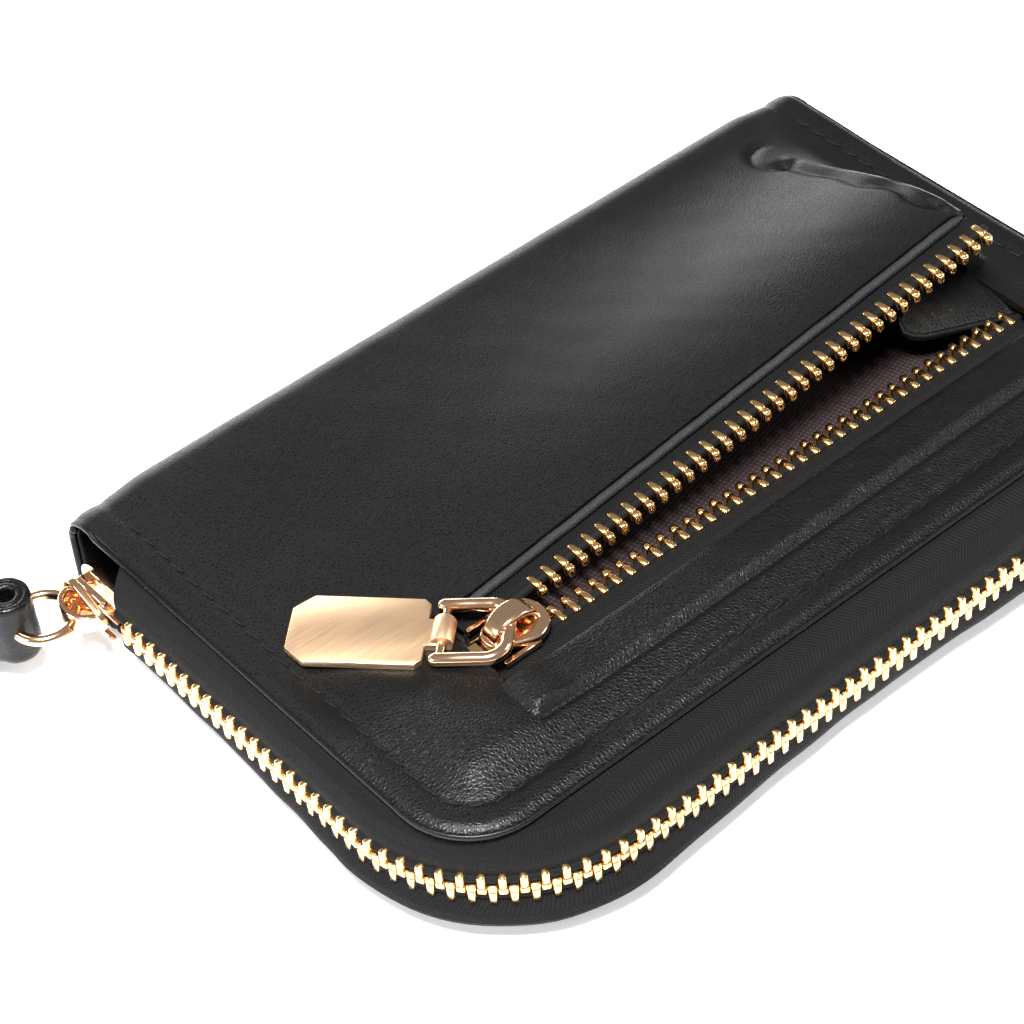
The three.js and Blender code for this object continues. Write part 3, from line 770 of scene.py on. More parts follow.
@dataclass
class Piece:
    """One finished piece: what it is called, what it is made of and what it moves with."""

    name: str
    finish: Finish
    body: str
    slot: Slot
    nodes: tuple[str, ...] = ()
    wall_mm: float = 0.0
    wall_side: float = -1.0
    levels: int = 0
    round_mm: float = 0.0
    sharp_deg: float = 180.0
    free: bool = False

    def make(
        self, shape: bmesh.types.BMesh, facing: Callable[[Vector], Vector] | None = None
    ) -> bpy.types.Object:
        """Turns a shape in millimetres into the finished piece.

        Args:
            shape: The shape, which is freed.
            facing: For a sheet cut into pieces, the way its upper face looks at a point, so that
                the cut doesn't show.

        Returns:
            The piece's object.
        """
        bmesh.ops.scale(shape, vec=Vector((MM, MM, MM)), verts=shape.verts)
        mesh = bpy.data.meshes.new(self.name)
        shape.to_mesh(mesh)
        shape.free()
        mesh.shade_smooth()
        if self.sharp_deg < 180:
            mesh.set_sharp_from_angle(angle=math.radians(self.sharp_deg))
        mesh.materials.append(self.finish.material)
        if facing:
            normals = [Vector((0, 0, 0))] * len(mesh.loops)
            for face in mesh.polygons:
                if face.normal.z > 0.2:
                    for loop in face.loop_indices:
                        place = mesh.vertices[mesh.loops[loop].vertex_index].co
                        normals[loop] = facing(place / MM)
            mesh.normals_split_custom_set(normals)
        piece = bpy.data.objects.new(self.name, mesh)
        bpy.context.scene.collection.objects.link(piece)
        if self.levels:
            level = piece.modifiers.new("smooth", "SUBSURF")
            level.levels = level.render_levels = self.levels
        if self.wall_mm:
            wall = piece.modifiers.new("wall", "SOLIDIFY")
            wall.thickness = self.wall_mm * MM
            wall.offset = self.wall_side
        if self.round_mm:
            rim = piece.modifiers.new("rim", "BEVEL")
            rim.width = self.round_mm * MM
            rim.segments = 3
            rim.limit_method = "ANGLE"
            rim.angle_limit = math.radians(50)
        if not self.free:
            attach(piece, self.body)
        if self.nodes:
            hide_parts(*self.nodes)
        log.info("made %s, %d faces, on %s", self.name, len(mesh.polygons), self.body)
        return piece


# ------------------------------------------------------------------ the zips


@dataclass
class ThreeSides:
    """A line down the left side, round the front and up the right side of a cover."""

    side: float
    front: float
    back: float
    radius: float

    def spans(self) -> list[float]:
        """Measures the line's five spans.

        Returns:
            The lengths of the left side, corner, front, corner and right side.
        """
        straight = self.back - self.front - self.radius
        arc = self.radius * math.pi / 2
        return [straight, arc, 2 * (self.side - self.radius), arc, straight]

    def at(self, section: int, share: float) -> tuple[Vector, Vector]:
        """A point on the line, and the direction that faces out of the wallet there.

        Args:
            section: Which of the five spans the point is on.
            share: How far along that span it is.

        Returns:
            The point at height 0, and the outward direction.
        """
        bend = self.front + self.radius
        if section in (0, 4):
            sign = -1 if section == 0 else 1
            ends = (self.back, bend) if section == 0 else (bend, self.back)
            return Vector((sign * self.side, lerp(*ends, share), 0)), Vector((sign, 0, 0))
        if section == 2:
            reach = self.side - self.radius
            return Vector((lerp(-reach, reach, share), self.front, 0)), Vector((0, -1, 0))
        start = math.pi if section == 1 else 1.5 * math.pi
        angle = start + share * math.pi / 2
        out = Vector((math.cos(angle), math.sin(angle), 0))
        sign = -1 if section == 1 else 1
        return Vector((sign * (self.side - self.radius), bend, 0)) + out * self.radius, out

    def after(self, run: float) -> tuple[Vector, Vector]:
        """The place on the line after a run from its left end.

        Args:
            run: How far along the line it is.

        Returns:
            The point at height 0, and the outward direction.
        """
        for section, span in enumerate(self.spans()):
            if run <= span or section == 4:
                return self.at(section, min(run / span, 1))
            run -= span
        raise ValueError("the run is negative")

    def stations(self, steps: Sequence[int]) -> list[tuple[int, float]]:
        """Evenly spaced sections and shares, with the given number of steps on each span."""
        places = [(s, i / n) for s, n in enumerate(steps) for i in range(n)]
        return places + [(4, 1.0)]


@dataclass
class Tooth:
    """A metal zip tooth: a leg clamped on the tape's cord and a rounded head."""

    width: float
    reach: float
    leg: float
    thick: float
    head_round: float
    leg_round: float = 0.14
    leg_start: float = 0.2
    head_end: float = 0.45
    head_broad: float = 1.2
    head_thin: float = 0.9

    def shape(self) -> bmesh.types.BMesh:
        """Makes one tooth at the origin.

        Returns:
            The tooth, with x along the chain, y from its head to its leg's end, z outwards.
        """
        leg = bmesh.new()
        middle = (0, (self.leg_start + self.leg) / 2, 0)
        size = (self.width, self.leg - self.leg_start, self.thick)
        bmesh.ops.create_cube(leg, size=1.0, matrix=Matrix.LocRotScale(middle, None, size))
        # the leg narrows a little to its end
        for vert in leg.verts:
            if vert.co.y > self.leg / 2:
                vert.co.x *= 0.96
                vert.co.z *= 0.94
        soften(leg, leg.edges, self.leg_round, 1)
        head = bmesh.new()
        middle = (0, (self.head_end - self.reach) / 2, 0)
        size = (self.width * self.head_broad, self.reach + self.head_end,
                self.thick * self.head_thin)
        bmesh.ops.create_cube(head, size=1.0, matrix=Matrix.LocRotScale(middle, None, size))
        soften(head, head.edges, self.head_round, 2)
        return merged(leg, head)

    def row(self, places: Iterable[tuple[Vector, Vector, Vector]]) -> bmesh.types.BMesh:
        """A row of teeth.

        Args:
            places: Each tooth's middle, the way its leg points and the way that is outwards.

        Returns:
            All the teeth in one shape.
        """
        matrices = []
        for middle, across, out in places:
            along = across.cross(out).normalized()
            turn = Matrix((along, across, out)).transposed().to_4x4()
            matrices.append(Matrix.Translation(middle) @ turn)
        return stamped(self.shape(), matrices)


@dataclass
class MainZip:
    """The zip round three sides of the body: two tape walls and two rows of teeth."""

    path: ThreeSides
    under: ThreeSides
    level: float = 9.5
    pitch: float = 2.54
    wall: float = 0.5
    corner_bulge: float = 0.34
    bulge_width: float = 36.0
    end_gap: float = 0.8
    tape_reach: float = 8.5
    fold: float = 0.25
    cord_lift: float = 1.35
    cord_radius: float = 0.72

    def build(self) -> None:
        """Builds both halves."""
        tooth = Tooth(width=1.0, reach=0.72, leg=2.35, thick=2.2, head_round=0.2)
        count = int((sum(self.path.spans()) - 2 * self.end_gap) / self.pitch)
        halves = (
            ("lower", -1, 0.5, "back", 8.0, self.corner_bulge),
            ("upper", 1, 1.0, "front_cover", 7.0, 0.03),
        )
        for half, side, shift, body, top, bulge in halves:
            places = []
            for i in range(count):
                middle, out = self.path.after(self.end_gap + (i + shift) * self.pitch)
                middle.z = self.level
                places.append((middle, UP * side, out))
            Piece(
                f"{half}_main_teeth", Finish.YELLOW_GOLD, body, Slot.YELLOW_GOLD,
                nodes=(f"main_zip_{half}_teeth",), sharp_deg=50,
            ).make(tooth.row(places))
            self.tape(half, side, body, top, bulge)

    def tape(self, half: str, side: int, body: str, top: float, bulge: float) -> None:
        """The woven wall from under one cover to the chain, and the cord at its edge.

        Args:
            half: Lower or upper.
            side: -1 for the lower wall and 1 for the upper one.
            body: What it moves with.
            top: How far from the chain it goes under the cover.
            bulge: How far it swells out at the corners, as a share of its reach.
        """
        # each point's share of the way out, its distance from the chain and how freely it swells
        section = [
            (0.0, top, 0), (0.3, top - 0.02, 0), (0.62, top - 0.35, 0.3), (0.86, top - 1.4, 0.8),
            (0.99, top - 3.0, 1.0), (1.0, 3.4, 0.45), (1.0, 2.3, 0), (1.0, 1.3, 0),
        ]
        spans = self.path.spans()
        corners = (spans[0] + spans[1] / 2, sum(spans[:3]) + spans[3] / 2)
        stations = []
        along = []
        run = 0.0
        last = None
        for part, share in self.path.stations([16, 12, 22, 12, 16]):
            outer, out = self.path.at(part, share)
            inner, _ = self.under.at(part, share)
            run += (outer - last).length if last else 0
            swell = max(bell(run - corner, self.bulge_width) for corner in corners)
            fold = self.fold * ripple(outer.x * 1.3, outer.y * 1.3)
            row = []
            for reach, height, loose in section:
                point = inner.lerp(outer, reach + bulge * swell * loose)
                point += out * fold * loose
                point.z = self.level + side * height
                row.append(point)
            last = outer
            along.append(run)
            stations.append(row)
        across = [0.0]
        for (r0, h0, _), (r1, h1, _) in zip(section, section[1:]):
            across.append(across[-1] + math.hypot(self.tape_reach * (r1 - r0), h1 - h0))
        shape = sweep(stations, across_mm=across, along_mm=along)
        if side < 0:
            bmesh.ops.reverse_faces(shape, faces=shape.faces)
        Piece(
            f"{half}_main_tape", Finish.TAPE, body, Slot.TAPE,
            nodes=(f"main_zip_{half}_tape",), levels=1, wall_mm=self.wall, wall_side=0.0,
        ).make(shape)
        cord = []
        for part, share in self.path.stations([16, 16, 40, 16, 16]):
            point, _ = self.path.at(part, share)
            cord.append(point + UP * (self.level + side * self.cord_lift))
        Piece(f"{half}_main_cord", Finish.TAPE, body, Slot.TAPE).make(
            tube(cord, self.cord_radius)
        )


@dataclass
class Slider:
    """A zip slider: two plates, the walls between them and the arch for its pull."""

    prefix: str
    body: str
    length: float
    half_width: float
    channel: float
    place: Matrix
    plate_thick: float = 1.0
    plate_round: float = 0.45
    plate_narrow: float = 0.62
    wall: float = 0.7
    wall_reach: float = 0.45
    wall_gap: float = 0.1
    neck_half: float = 0.9
    arch_reach: float = 3.35
    arch_rise: float = 2.6
    arch_shift: float = 0.4
    arch_thick: float = 0.5

    def build(self) -> None:
        """Builds the slider's body and its arch."""
        plates = [self.plate(side) for side in (1, -1)]
        half = self.length / 2
        wide = self.half_width
        walls = []
        for s in (1, -1):
            for z in (self.channel + self.wall_gap, -self.channel - self.wall_gap):
                sides = sorted((s * wide, s * (wide - self.wall)))
                levels = sorted((z, z * self.wall_reach))
                low = (-half * 0.98, sides[0], levels[0])
                high = (half * 0.25, sides[1], levels[1])
                walls.append(block(low, high, 0.12, 1))
        reach = self.channel + 0.2
        neck = block(
            (half * 0.45, -self.neck_half, -reach), (half * 0.8, self.neck_half, reach), 0.2
        )
        shape = merged(*plates, *walls, neck)
        bmesh.ops.transform(shape, matrix=self.place, verts=shape.verts)
        Piece(
            f"{self.prefix}_slider_plates", Finish.ROSE_GOLD, self.body, Slot.ROSE_GOLD,
            nodes=(f"{self.prefix}_slider_body",), sharp_deg=40,
        ).make(shape)
        arch = self.arch()
        bmesh.ops.transform(arch, matrix=self.place, verts=arch.verts)
        Piece(
            f"{self.prefix}_slider_arch", Finish.ROSE_GOLD, self.body, Slot.ROSE_GOLD,
            nodes=(f"{self.prefix}_slider_crown",), sharp_deg=45,
        ).make(arch)

    def plate(self, side: int) -> bmesh.types.BMesh:
        """One plate, heart-shaped, narrow where the closed chain leaves it.

        Args:
            side: 1 for the outer plate and -1 for the inner one.

        Returns:
            The plate, with its outer rim rounded.
        """
        shape = bmesh.new()
        bmesh.ops.create_circle(shape, cap_ends=True, radius=1.0, segments=48)
        half = self.length / 2
        for vert in shape.verts:
            x, y = vert.co.x, vert.co.y
            long = math.copysign(abs(x) ** (0.5 if x < 0 else 0.92), x)
            spread = lerp(self.plate_narrow, 1.0, smooth(-0.8, 0.35, long))
            vert.co.x = half * long
            vert.co.y = self.half_width * spread * math.copysign(abs(y) ** 0.9, y)
        grown = bmesh.ops.extrude_face_region(shape, geom=list(shape.faces))["geom"]
        top = [g for g in grown if isinstance(g, bmesh.types.BMVert)]
        bmesh.ops.translate(shape, vec=UP * (side * self.plate_thick), verts=top)
        for vert in shape.verts:
            vert.co.z += side * self.channel
        bmesh.ops.recalc_face_normals(shape, faces=shape.faces)
        outer = side * (self.channel + self.plate_thick)
        rim = [e for e in shape.edges if all(abs(v.co.z - outer) < 1e-4 for v in e.verts)]
        soften(shape, rim, self.plate_round, 4)
        return shape

    def arch(self) -> bmesh.types.BMesh:
        """Makes the arch over the outer plate, open to both sides.

        Returns:
            The arch, broad and rounded.
        """
        stations = []
        foot = self.channel + 0.7
        for i in range(25):
            angle = math.pi * i / 24
            out = Vector((math.cos(angle) * 0.8, 0, math.sin(angle))).normalized()
            run = self.arch_reach * math.cos(angle) - self.arch_shift
            centre = Vector((run, 0, foot + self.arch_rise * math.sin(angle)))
            broad = lerp(1.35, 1.6, math.sin(angle) ** 2) * lerp(1.15, 0.9, i / 24)
            stations.append(
                ring_of(
                    centre, Vector((0, 1, 0)), out, broad, self.arch_thick, 16, squareness=0.4
                )
            )
        return sweep(stations, around=True)


# ------------------------------------------------------------------ the covers


@dataclass
class CoverLine:
    """The outline of a cover: rounded front corners and a straight back."""

    half_length: float = 66.0
    front: float = -42.0
    back: float = 35.0
    radius: float = 11.0

    def fit(self, x: float, y: float) -> tuple[float, float]:
        """Moves a point of the square sheet so that the sheet's corners become round.

        Args:
            x: Where along the wallet.
            y: Where across it.

        Returns:
            The point's new x and y.
        """
        across = (abs(x) - self.half_length + self.radius) / self.radius
        down = (self.front + self.radius - y) / self.radius
        if across <= 0 or down <= 0:
            return x, y
        a = across * math.sqrt(1 - down * down / 2)
        b = down * math.sqrt(1 - across * across / 2)
        near = self.half_length - self.radius
        return math.copysign(near + a * self.radius, x), self.front + self.radius * (1 - b)

    def depth(self, x: float, y: float) -> float:
        """How far inside the outline a point is, ignoring the back.

        Args:
            x: Where along the wallet.
            y: Where across it.

        Returns:
            The distance, below 0 outside the outline.
        """
        across = abs(x) - self.half_length + self.radius
        down = self.front + self.radius - y
        if across > 0 and down > 0:
            return self.radius - math.hypot(across, down)
        return min(self.half_length - abs(x), y - self.front)

    def edge(self, inset: float, step: float) -> list[tuple[Vector, Vector]]:
        """Points along the outline from the left back end to the right back end.

        Args:
            inset: How far inside the outline they lie.
            step: How far apart they are.

        Returns:
            Each point at height 0 and the outward direction there.
        """
        line = ThreeSides(
            self.half_length - inset, self.front + inset, self.back, self.radius - inset
        )
        count = round(sum(line.spans()) / step)
        return [line.after(sum(line.spans()) * i / count) for i in range(count + 1)]


@dataclass
class CoinMouth:
    """Where the coin pocket opens, and how its flap stands up."""

    left: float = -44.0
    right: float = 53.0
    lip: float = -25.0
    flap_front: float = -9.3
    flap_left: float = -39.5
    slider_x: float = -37.3
    chain_y: float = -17.8
    chain_z: float = 17.1
    border: float = 58.0
    lift_deg: float = 7.4
    back: float = 34.5

    def lift(self, x: float) -> float:
        """How far the flap's row of teeth stands above its closed place."""
        return max(x - self.slider_x, 0) * math.tan(math.radians(self.lift_deg))

    def inside(self, x: float) -> float:
        """How far left of the right border strip a point is."""
        return self.border - x

    def rise(self, x: float, y: float) -> float:
        """How far the flap's leather stands above the cover.

        Args:
            x: Where along the wallet.
            y: Where across it.

        Returns:
            The height above the cover, or 0 off the flap.
        """
        if y < self.flap_front - 0.5:
            return 0
        share = (y - self.flap_front) / (self.back - self.flap_front)
        fall = (1 + math.cos(math.pi * min(max(share, 0), 1))) / 2
        return self.lift(x) * fall ** 0.9 * smooth(0.2, 6.6, self.inside(x))

    def front_row(self, x: float) -> Vector:
        """The middle of the front row of teeth, which sags towards its right end."""
        share = smooth(self.slider_x, self.right, x)
        return Vector((x, self.chain_y - 0.4 - 0.5 * share, self.chain_z - 0.45 * share))


@dataclass
class FrontCover:
    """The front cover: crowned leather with a turned, stitched edge and a lifted coin flap."""

    line: CoverLine
    mouth: CoinMouth
    top: float = 18.0
    leather: float = 1.2
    stitch_inset: float = 4.3
    stitch_pitch: float = 3.3
    cell: float = 0.72
    bend_from: float = 36.8
    bend_radius: float = 5.2
    reach: float = 41.1
    crown: float = 0.9
    crown_reach: float = 12.0
    stitch_sink: float = 0.25
    edge_fall: float = 0.55
    swell: float = 0.03
    pad_middle: tuple[float, float] = (-50.0, -31.0)
    pad_width: float = 9.5
    pad_height: float = 1.0
    crease_inset: float = 7.6
    crease_depth: float = 0.7
    curl_middle: tuple[float, float] = (51.5, 27.0)
    curl_radius: float = 3.2
    curl_depth: float = 0.55
    back_rise: float = 0.6
    welt_width: float = 6.9
    welt_right: float = 56.5
    welt_height: float = 0.55
    welt_groove: float = 0.3
    leaf_thick: float = 0.8
    leaf_crown: float = 0.5
    leaf_rim: float = 0.55
    rim_step: float = 1.4
    rim_radius: float = 0.42

    def height(self, x: float, y: float) -> float:
        """The height of the leather's top face.

        Args:
            x: Where along the wallet.
            y: Where across it.

        Returns:
            The height above the floor.
        """
        deep = self.line.depth(x, y)
        mouth = self.mouth
        level = self.top + self.crown * smooth(self.stitch_inset, self.crown_reach, deep)
        # the padding is fullest at the front left corner
        pad = math.dist((x, y), self.pad_middle)
        level += self.pad_height * bell(pad, self.pad_width) * smooth(4.0, 10.0, deep)
        # the leather dips along the stitches and rounds over at its edge
        level -= self.stitch_sink * bell(deep - self.stitch_inset, 0.7)
        level -= self.edge_fall * bell(deep, 0.8)
        level += self.swell * ripple(x, y) * smooth(4.0, self.crown_reach, deep)
        level += self.welt(x, y)
        # the flap folds along a crease short of its right end, which curls round at the back
        wander = 0.5 * smooth(26, 4, y) * math.sin(0.55 * y)
        crease = mouth.inside(x) - self.crease_inset + wander
        fade = smooth(mouth.flap_front, mouth.flap_front + 4, y) * smooth(26.5, 23, y)
        ridge = 0.5 * bell(crease + 1.9, 1.2)
        level -= fade * self.crease_depth * (bell(crease, 0.75) - ridge)
        right, back = x - self.curl_middle[0], y - self.curl_middle[1]
        curl = math.hypot(right, 0.8 * back) - self.curl_radius
        level -= self.curl_depth * bell(curl, 0.75) * smooth(3.0, -1.0, right)
        level += self.back_rise * smooth(12.0, 36.0, y)
        level += mouth.rise(x, y)
        # the back of the sheet turns down towards the spine
        if y > self.bend_from:
            run = min((y - self.bend_from) / self.bend_radius, 0.97)
            level -= self.bend_radius * (1 - math.sqrt(1 - run * run))
        return level

    def welt(self, x: float, y: float) -> float:
        """How far the folded strip along the mouth's lip stands up, with its worn creases.

        Args:
            x: Where along the wallet.
            y: Where across it.

        Returns:
            The height above the cover, below 0 in the groove in front of the strip.
        """
        mouth = self.mouth
        left = smooth(mouth.left - 1.6, mouth.left - 0.7, x)
        inside = left * smooth(self.welt_right, self.welt_right - 1, x)
        front = mouth.lip - self.welt_width
        strip = smooth(front, front + 0.7, y) * smooth(0.5, -0.3, y - mouth.lip)
        fold = 0.05 * ripple(1.3 * x + 0.8 * y, 0.9 * y - 0.4 * x)
        corner = 0.7 * bell(x - mouth.left - 1.5, 3.0)
        groove = self.welt_groove * bell(y - front + 0.3, 0.5)
        return inside * (strip * (self.welt_height + fold + corner) - groove)

    def facing(self, place: Vector) -> Vector:
        """The way that the leather's top face looks at a place.

        Args:
            place: The point.

        Returns:
            The direction, with length 1.
        """
        x, y = place.x, place.y
        step = 0.35
        along = self.height(x + step, y) - self.height(x - step, y)
        across = self.height(x, y + step) - self.height(x, y - step)
        return Vector((-along, -across, 2 * step)).normalized()

    def sheet(self, keep: Callable[[float, float], bool]) -> bmesh.types.BMesh:
        """The part of the top leather that a test keeps.

        Args:
            keep: Tells from the middle of a face whether it belongs to the piece.

        Returns:
            The sheet with its final heights.
        """
        line, mouth = self.line, self.mouth
        shape = bmesh.new()
        long, deep = 2 * line.half_length, self.reach - line.front
        centre = Matrix.LocRotScale(
            (0, (self.reach + line.front) / 2, 0), None, (long / 2, deep / 2, 1)
        )
        bmesh.ops.create_grid(
            shape, x_segments=round(long / self.cell), y_segments=round(deep / self.cell),
            size=1.0, matrix=centre,
        )
        cuts = (
            ((mouth.left, 0, 0), (1, 0, 0)),
            ((mouth.right, 0, 0), (1, 0, 0)),
            ((mouth.flap_left, 0, 0), (1, 0, 0)),
            ((0, mouth.lip, 0), (0, 1, 0)),
            ((0, mouth.flap_front, 0), (0, 1, 0)),
        )
        for point, normal in cuts:
            everything = list(shape.verts) + list(shape.edges) + list(shape.faces)
            bmesh.ops.bisect_plane(
                shape, geom=everything, dist=1e-5, plane_co=point, plane_no=normal
            )
        gone = [f for f in shape.faces if not keep(*f.calc_center_median().xy)]
        bmesh.ops.delete(shape, geom=gone, context="FACES")
        bmesh.ops.remove_doubles(shape, verts=shape.verts, dist=0.02)
        for vert in shape.verts:
            x, y = line.fit(vert.co.x, vert.co.y)
            vert.co = (x, y, self.height(x, y))
        grown = bmesh.ops.extrude_face_region(shape, geom=list(shape.faces))["geom"]
        top = [g for g in grown if isinstance(g, bmesh.types.BMVert)]
        under = set(shape.verts).difference(top)
        bmesh.ops.translate(shape, vec=UP * -self.leather, verts=list(under))
        bmesh.ops.recalc_face_normals(shape, faces=shape.faces)
        return shape

    def build(self) -> None:
        """Builds the leather, its rolled edge, its stitches, the flap and the gusset."""
        mouth = self.mouth

        def in_flap(x: float, y: float) -> bool:
            """Whether a point is on the flap."""
            inside = mouth.flap_front < y < mouth.back
            return inside and x > mouth.flap_left and mouth.inside(x) > 0

        def in_mouth(x: float, y: float) -> bool:
            """Whether a point is in the open mouth."""
            left = mouth.left if y < mouth.flap_front else mouth.flap_left
            return left < x < mouth.right and mouth.lip < y < mouth.flap_front

        Piece(
            "cover_leather", Finish.LEATHER, "front_cover", Slot.LEATHER,
            nodes=("front_cover_leather",), sharp_deg=50,
        ).make(self.sheet(lambda x, y: not in_flap(x, y) and not in_mouth(x, y)), self.facing)
        flap = Piece(
            "flap_leather", Finish.LEATHER, "front_cover", Slot.LEATHER,
            nodes=("coin_flap_leather",), sharp_deg=50,
        ).make(self.sheet(in_flap), self.facing)
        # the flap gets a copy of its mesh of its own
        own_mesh(flap)
        edge = self.line.edge(0, self.rim_step)
        rim = [p + out * 0.05 + UP * (self.top - 1.0) for p, out in edge]
        steps = [self.line.back + 0.8 * i for i in range(1, 8)]
        bend = [(y, self.height(self.line.half_length, y) - 0.5) for y in steps]
        side = self.line.half_length + 0.05
        rim = [Vector((-side, y, z)) for y, z in reversed(bend)] + rim
        rim += [Vector((side, y, z)) for y, z in bend]
        Piece("cover_rolled_edge", Finish.ROLLED_EDGE, "front_cover", Slot.LEATHER).make(
            tube(rim, self.rim_radius)
        )
        self.stitches()
        self.gusset()

    def stitches(self) -> None:
        """A row of sunken stitches inside the turned edge."""
        places = []
        for point, out in self.line.edge(self.stitch_inset, self.stitch_pitch):
            along = Vector((out.y, -out.x, 0)).normalized()
            height = self.height(point.x, point.y) + 0.05
            turn = Matrix((along, out, UP)).transposed().to_4x4()
            turn = turn @ Matrix.Rotation(math.radians(9), 4, "Z")
            places.append(Matrix.Translation((point.x, point.y, height)) @ turn)
        stitch = bmesh.new()
        size = Matrix.LocRotScale(None, None, (self.stitch_pitch * 0.38, 0.24, 0.16))
        bmesh.ops.create_uvsphere(stitch, u_segments=10, v_segments=6, radius=1.0, matrix=size)
        Piece("cover_stitches", Finish.THREAD, "front_cover", Slot.LEATHER).make(
            stamped(stitch, places[1:-1])
        )

    def gusset(self) -> None:
        """The leather leaf inside the right end of the mouth, with a bound edge."""
        front_tip, front_end = Vector((35.7, -12.6, 17.6)), Vector((53.5, -19.8, 16.4))
        back_tip, back_end = Vector((42.2, -8.6, 20.6)), Vector((54.0, -8.2, 18.6))
        stations = []
        for i in range(13):
            share = i / 12
            low = front_tip.lerp(front_end, share)
            high = back_tip.lerp(back_end, share)
            round_end = math.sqrt(max(1 - (1 - min(share / 0.3, 1)) ** 2, 0.02))
            row = []
            for j in range(9):
                across = 0.5 + (j / 8 - 0.5) * round_end
                point = low.lerp(high, across)
                point.z += self.leaf_crown * math.sin(math.pi * across)
                row.append(point)
            stations.append(row)
        shape = sweep(stations)
        leaf = Piece(
            "gusset_leaf", Finish.LEATHER, "front_cover", Slot.LEATHER,
            nodes=("coin_pocket_gusset",), levels=1, wall_mm=self.leaf_thick, wall_side=0.0,
        ).make(shape)
        rim = [row[0] + UP * 0.1 for row in stations]
        edge = Piece("gusset_binding", Finish.ROLLED_EDGE, "front_cover", Slot.LEATHER).make(
            tube(rim, self.leaf_rim)
        )
        # the leaf and its binding get copies of their meshes of their own
        for soft in (leaf, edge):
            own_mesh(soft)


@dataclass
class BackCover:
    """The back cover: flat leather with a turned, stitched edge."""

    line: CoverLine
    stitch_inset: float = 4.3
    stitch_pitch: float = 3.3
    cell: float = 1.1
    leather: float = 1.2
    rim_step: float = 1.4
    rim_radius: float = 0.42

    def height(self, x: float, y: float) -> float:
        """The height of the leather's under face."""
        deep = self.line.depth(x, y)
        return 0.5 * bell(deep, 0.8) + 0.3 * bell(deep - self.stitch_inset, 0.75)

    def build(self) -> None:
        """Builds the leather, its rolled edge and its stitches."""
        line = self.line
        shape = bmesh.new()
        long, deep = 2 * line.half_length, line.back - line.front
        centre = Matrix.LocRotScale(
            (0, (line.back + line.front) / 2, 0), None, (long / 2, deep / 2, 1)
        )
        bmesh.ops.create_grid(
            shape, x_segments=round(long / self.cell), y_segments=round(deep / self.cell),
            size=1.0, matrix=centre,
        )
        for vert in shape.verts:
            x, y = line.fit(vert.co.x, vert.co.y)
            vert.co = (x, y, self.height(x, y))
        bmesh.ops.reverse_faces(shape, faces=shape.faces)
        Piece(
            "back_leather", Finish.LEATHER, "back", Slot.LEATHER,
            nodes=("back_cover_leather",), wall_mm=self.leather, round_mm=0.3,
        ).make(shape)
        rim = [p + out * 0.1 + UP for p, out in line.edge(0, self.rim_step)]
        Piece("back_rolled_edge", Finish.ROLLED_EDGE, "back", Slot.LEATHER).make(
            tube(rim, self.rim_radius)
        )
        stitch = bmesh.new()
        size = Matrix.LocRotScale(None, None, (self.stitch_pitch * 0.36, 0.3, 0.2))
        bmesh.ops.create_uvsphere(stitch, u_segments=10, v_segments=6, radius=1.0, matrix=size)
        places = []
        for point, out in line.edge(self.stitch_inset, self.stitch_pitch):
            along = Vector((out.y, -out.x, 0)).normalized()
            turn = Matrix((along, out, UP)).transposed().to_4x4()
            low = self.height(point.x, point.y) - 0.05
            places.append(Matrix.Translation((point.x, point.y, low)) @ turn)
        Piece("back_stitches", Finish.THREAD, "back", Slot.LEATHER).make(
            stamped(stitch, places[1:-1])
        )


@dataclass
class Spine:
    """The leather that rolls round the back from one cover to the other."""

    cover: FrontCover
    join: float = 35.0
    foot_radius: float = 5.5
    lap: float = 0.15
    edge_inset: float = 0.6
    edge_radius: float = 0.66

    def row(self, x: float) -> list[Vector]:
        """The roll's section at a place along it.

        Args:
            x: Where along the wallet it is.

        Returns:
            The section's points, from the front cover to the back one.
        """
        cover = self.cover
        bend, radius = cover.bend_from, cover.bend_radius
        level = cover.height(x, bend - 0.1) - self.lap
        start = math.asin((cover.reach - bend) / radius)
        swell = 0.25 * ripple(0.6 * x, 4.0)
        row = []
        for j in range(7):
            angle = lerp(start, math.pi / 2, j / 6)
            y = bend + (radius - self.lap) * math.sin(angle) + swell * j / 6
            row.append(Vector((x, y, level - radius * (1 - math.cos(angle)))))
        back = bend + radius
        foot = self.foot_radius
        for j in range(1, 9):
            angle = math.pi / 2 * (j - 1) / 7
            y = back - foot + foot * math.cos(angle) + swell * (1 - j / 8)
            row.append(Vector((x, y, foot - foot * math.sin(angle))))
        return [*row, Vector((x, self.join, 0))]

    def build(self) -> None:
        """Builds the roll and the rolled edges at its two ends, which are left without a parent."""
        half = self.cover.line.half_length
        stations = [self.row(lerp(-half, half, i / 66)) for i in range(67)]
        shape = sweep(stations)
        spine = Piece(
            "spine_roll", Finish.LEATHER, "back", Slot.LEATHER, nodes=("spine_leather",),
            wall_mm=self.cover.leather, levels=1, free=True,
        ).make(shape)
        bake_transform(spine)
        for name, side in (("left", -half - 0.05), ("right", half + 0.05)):
            rim = self.row(side)
            path = [p + self.inward(rim, i) * self.edge_inset for i, p in enumerate(rim)]
            edge = Piece(
                f"spine_{name}_edge", Finish.ROLLED_EDGE, "back", Slot.LEATHER, free=True
            ).make(tube(path, self.edge_radius))
            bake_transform(edge)

    def inward(self, rim: Sequence[Vector], place: int) -> Vector:
        """The direction into the roll at a point of its end."""
        run = rim[min(place + 1, len(rim) - 1)] - rim[max(place - 1, 0)]
        return Vector((0, run.z, -run.y)).normalized()


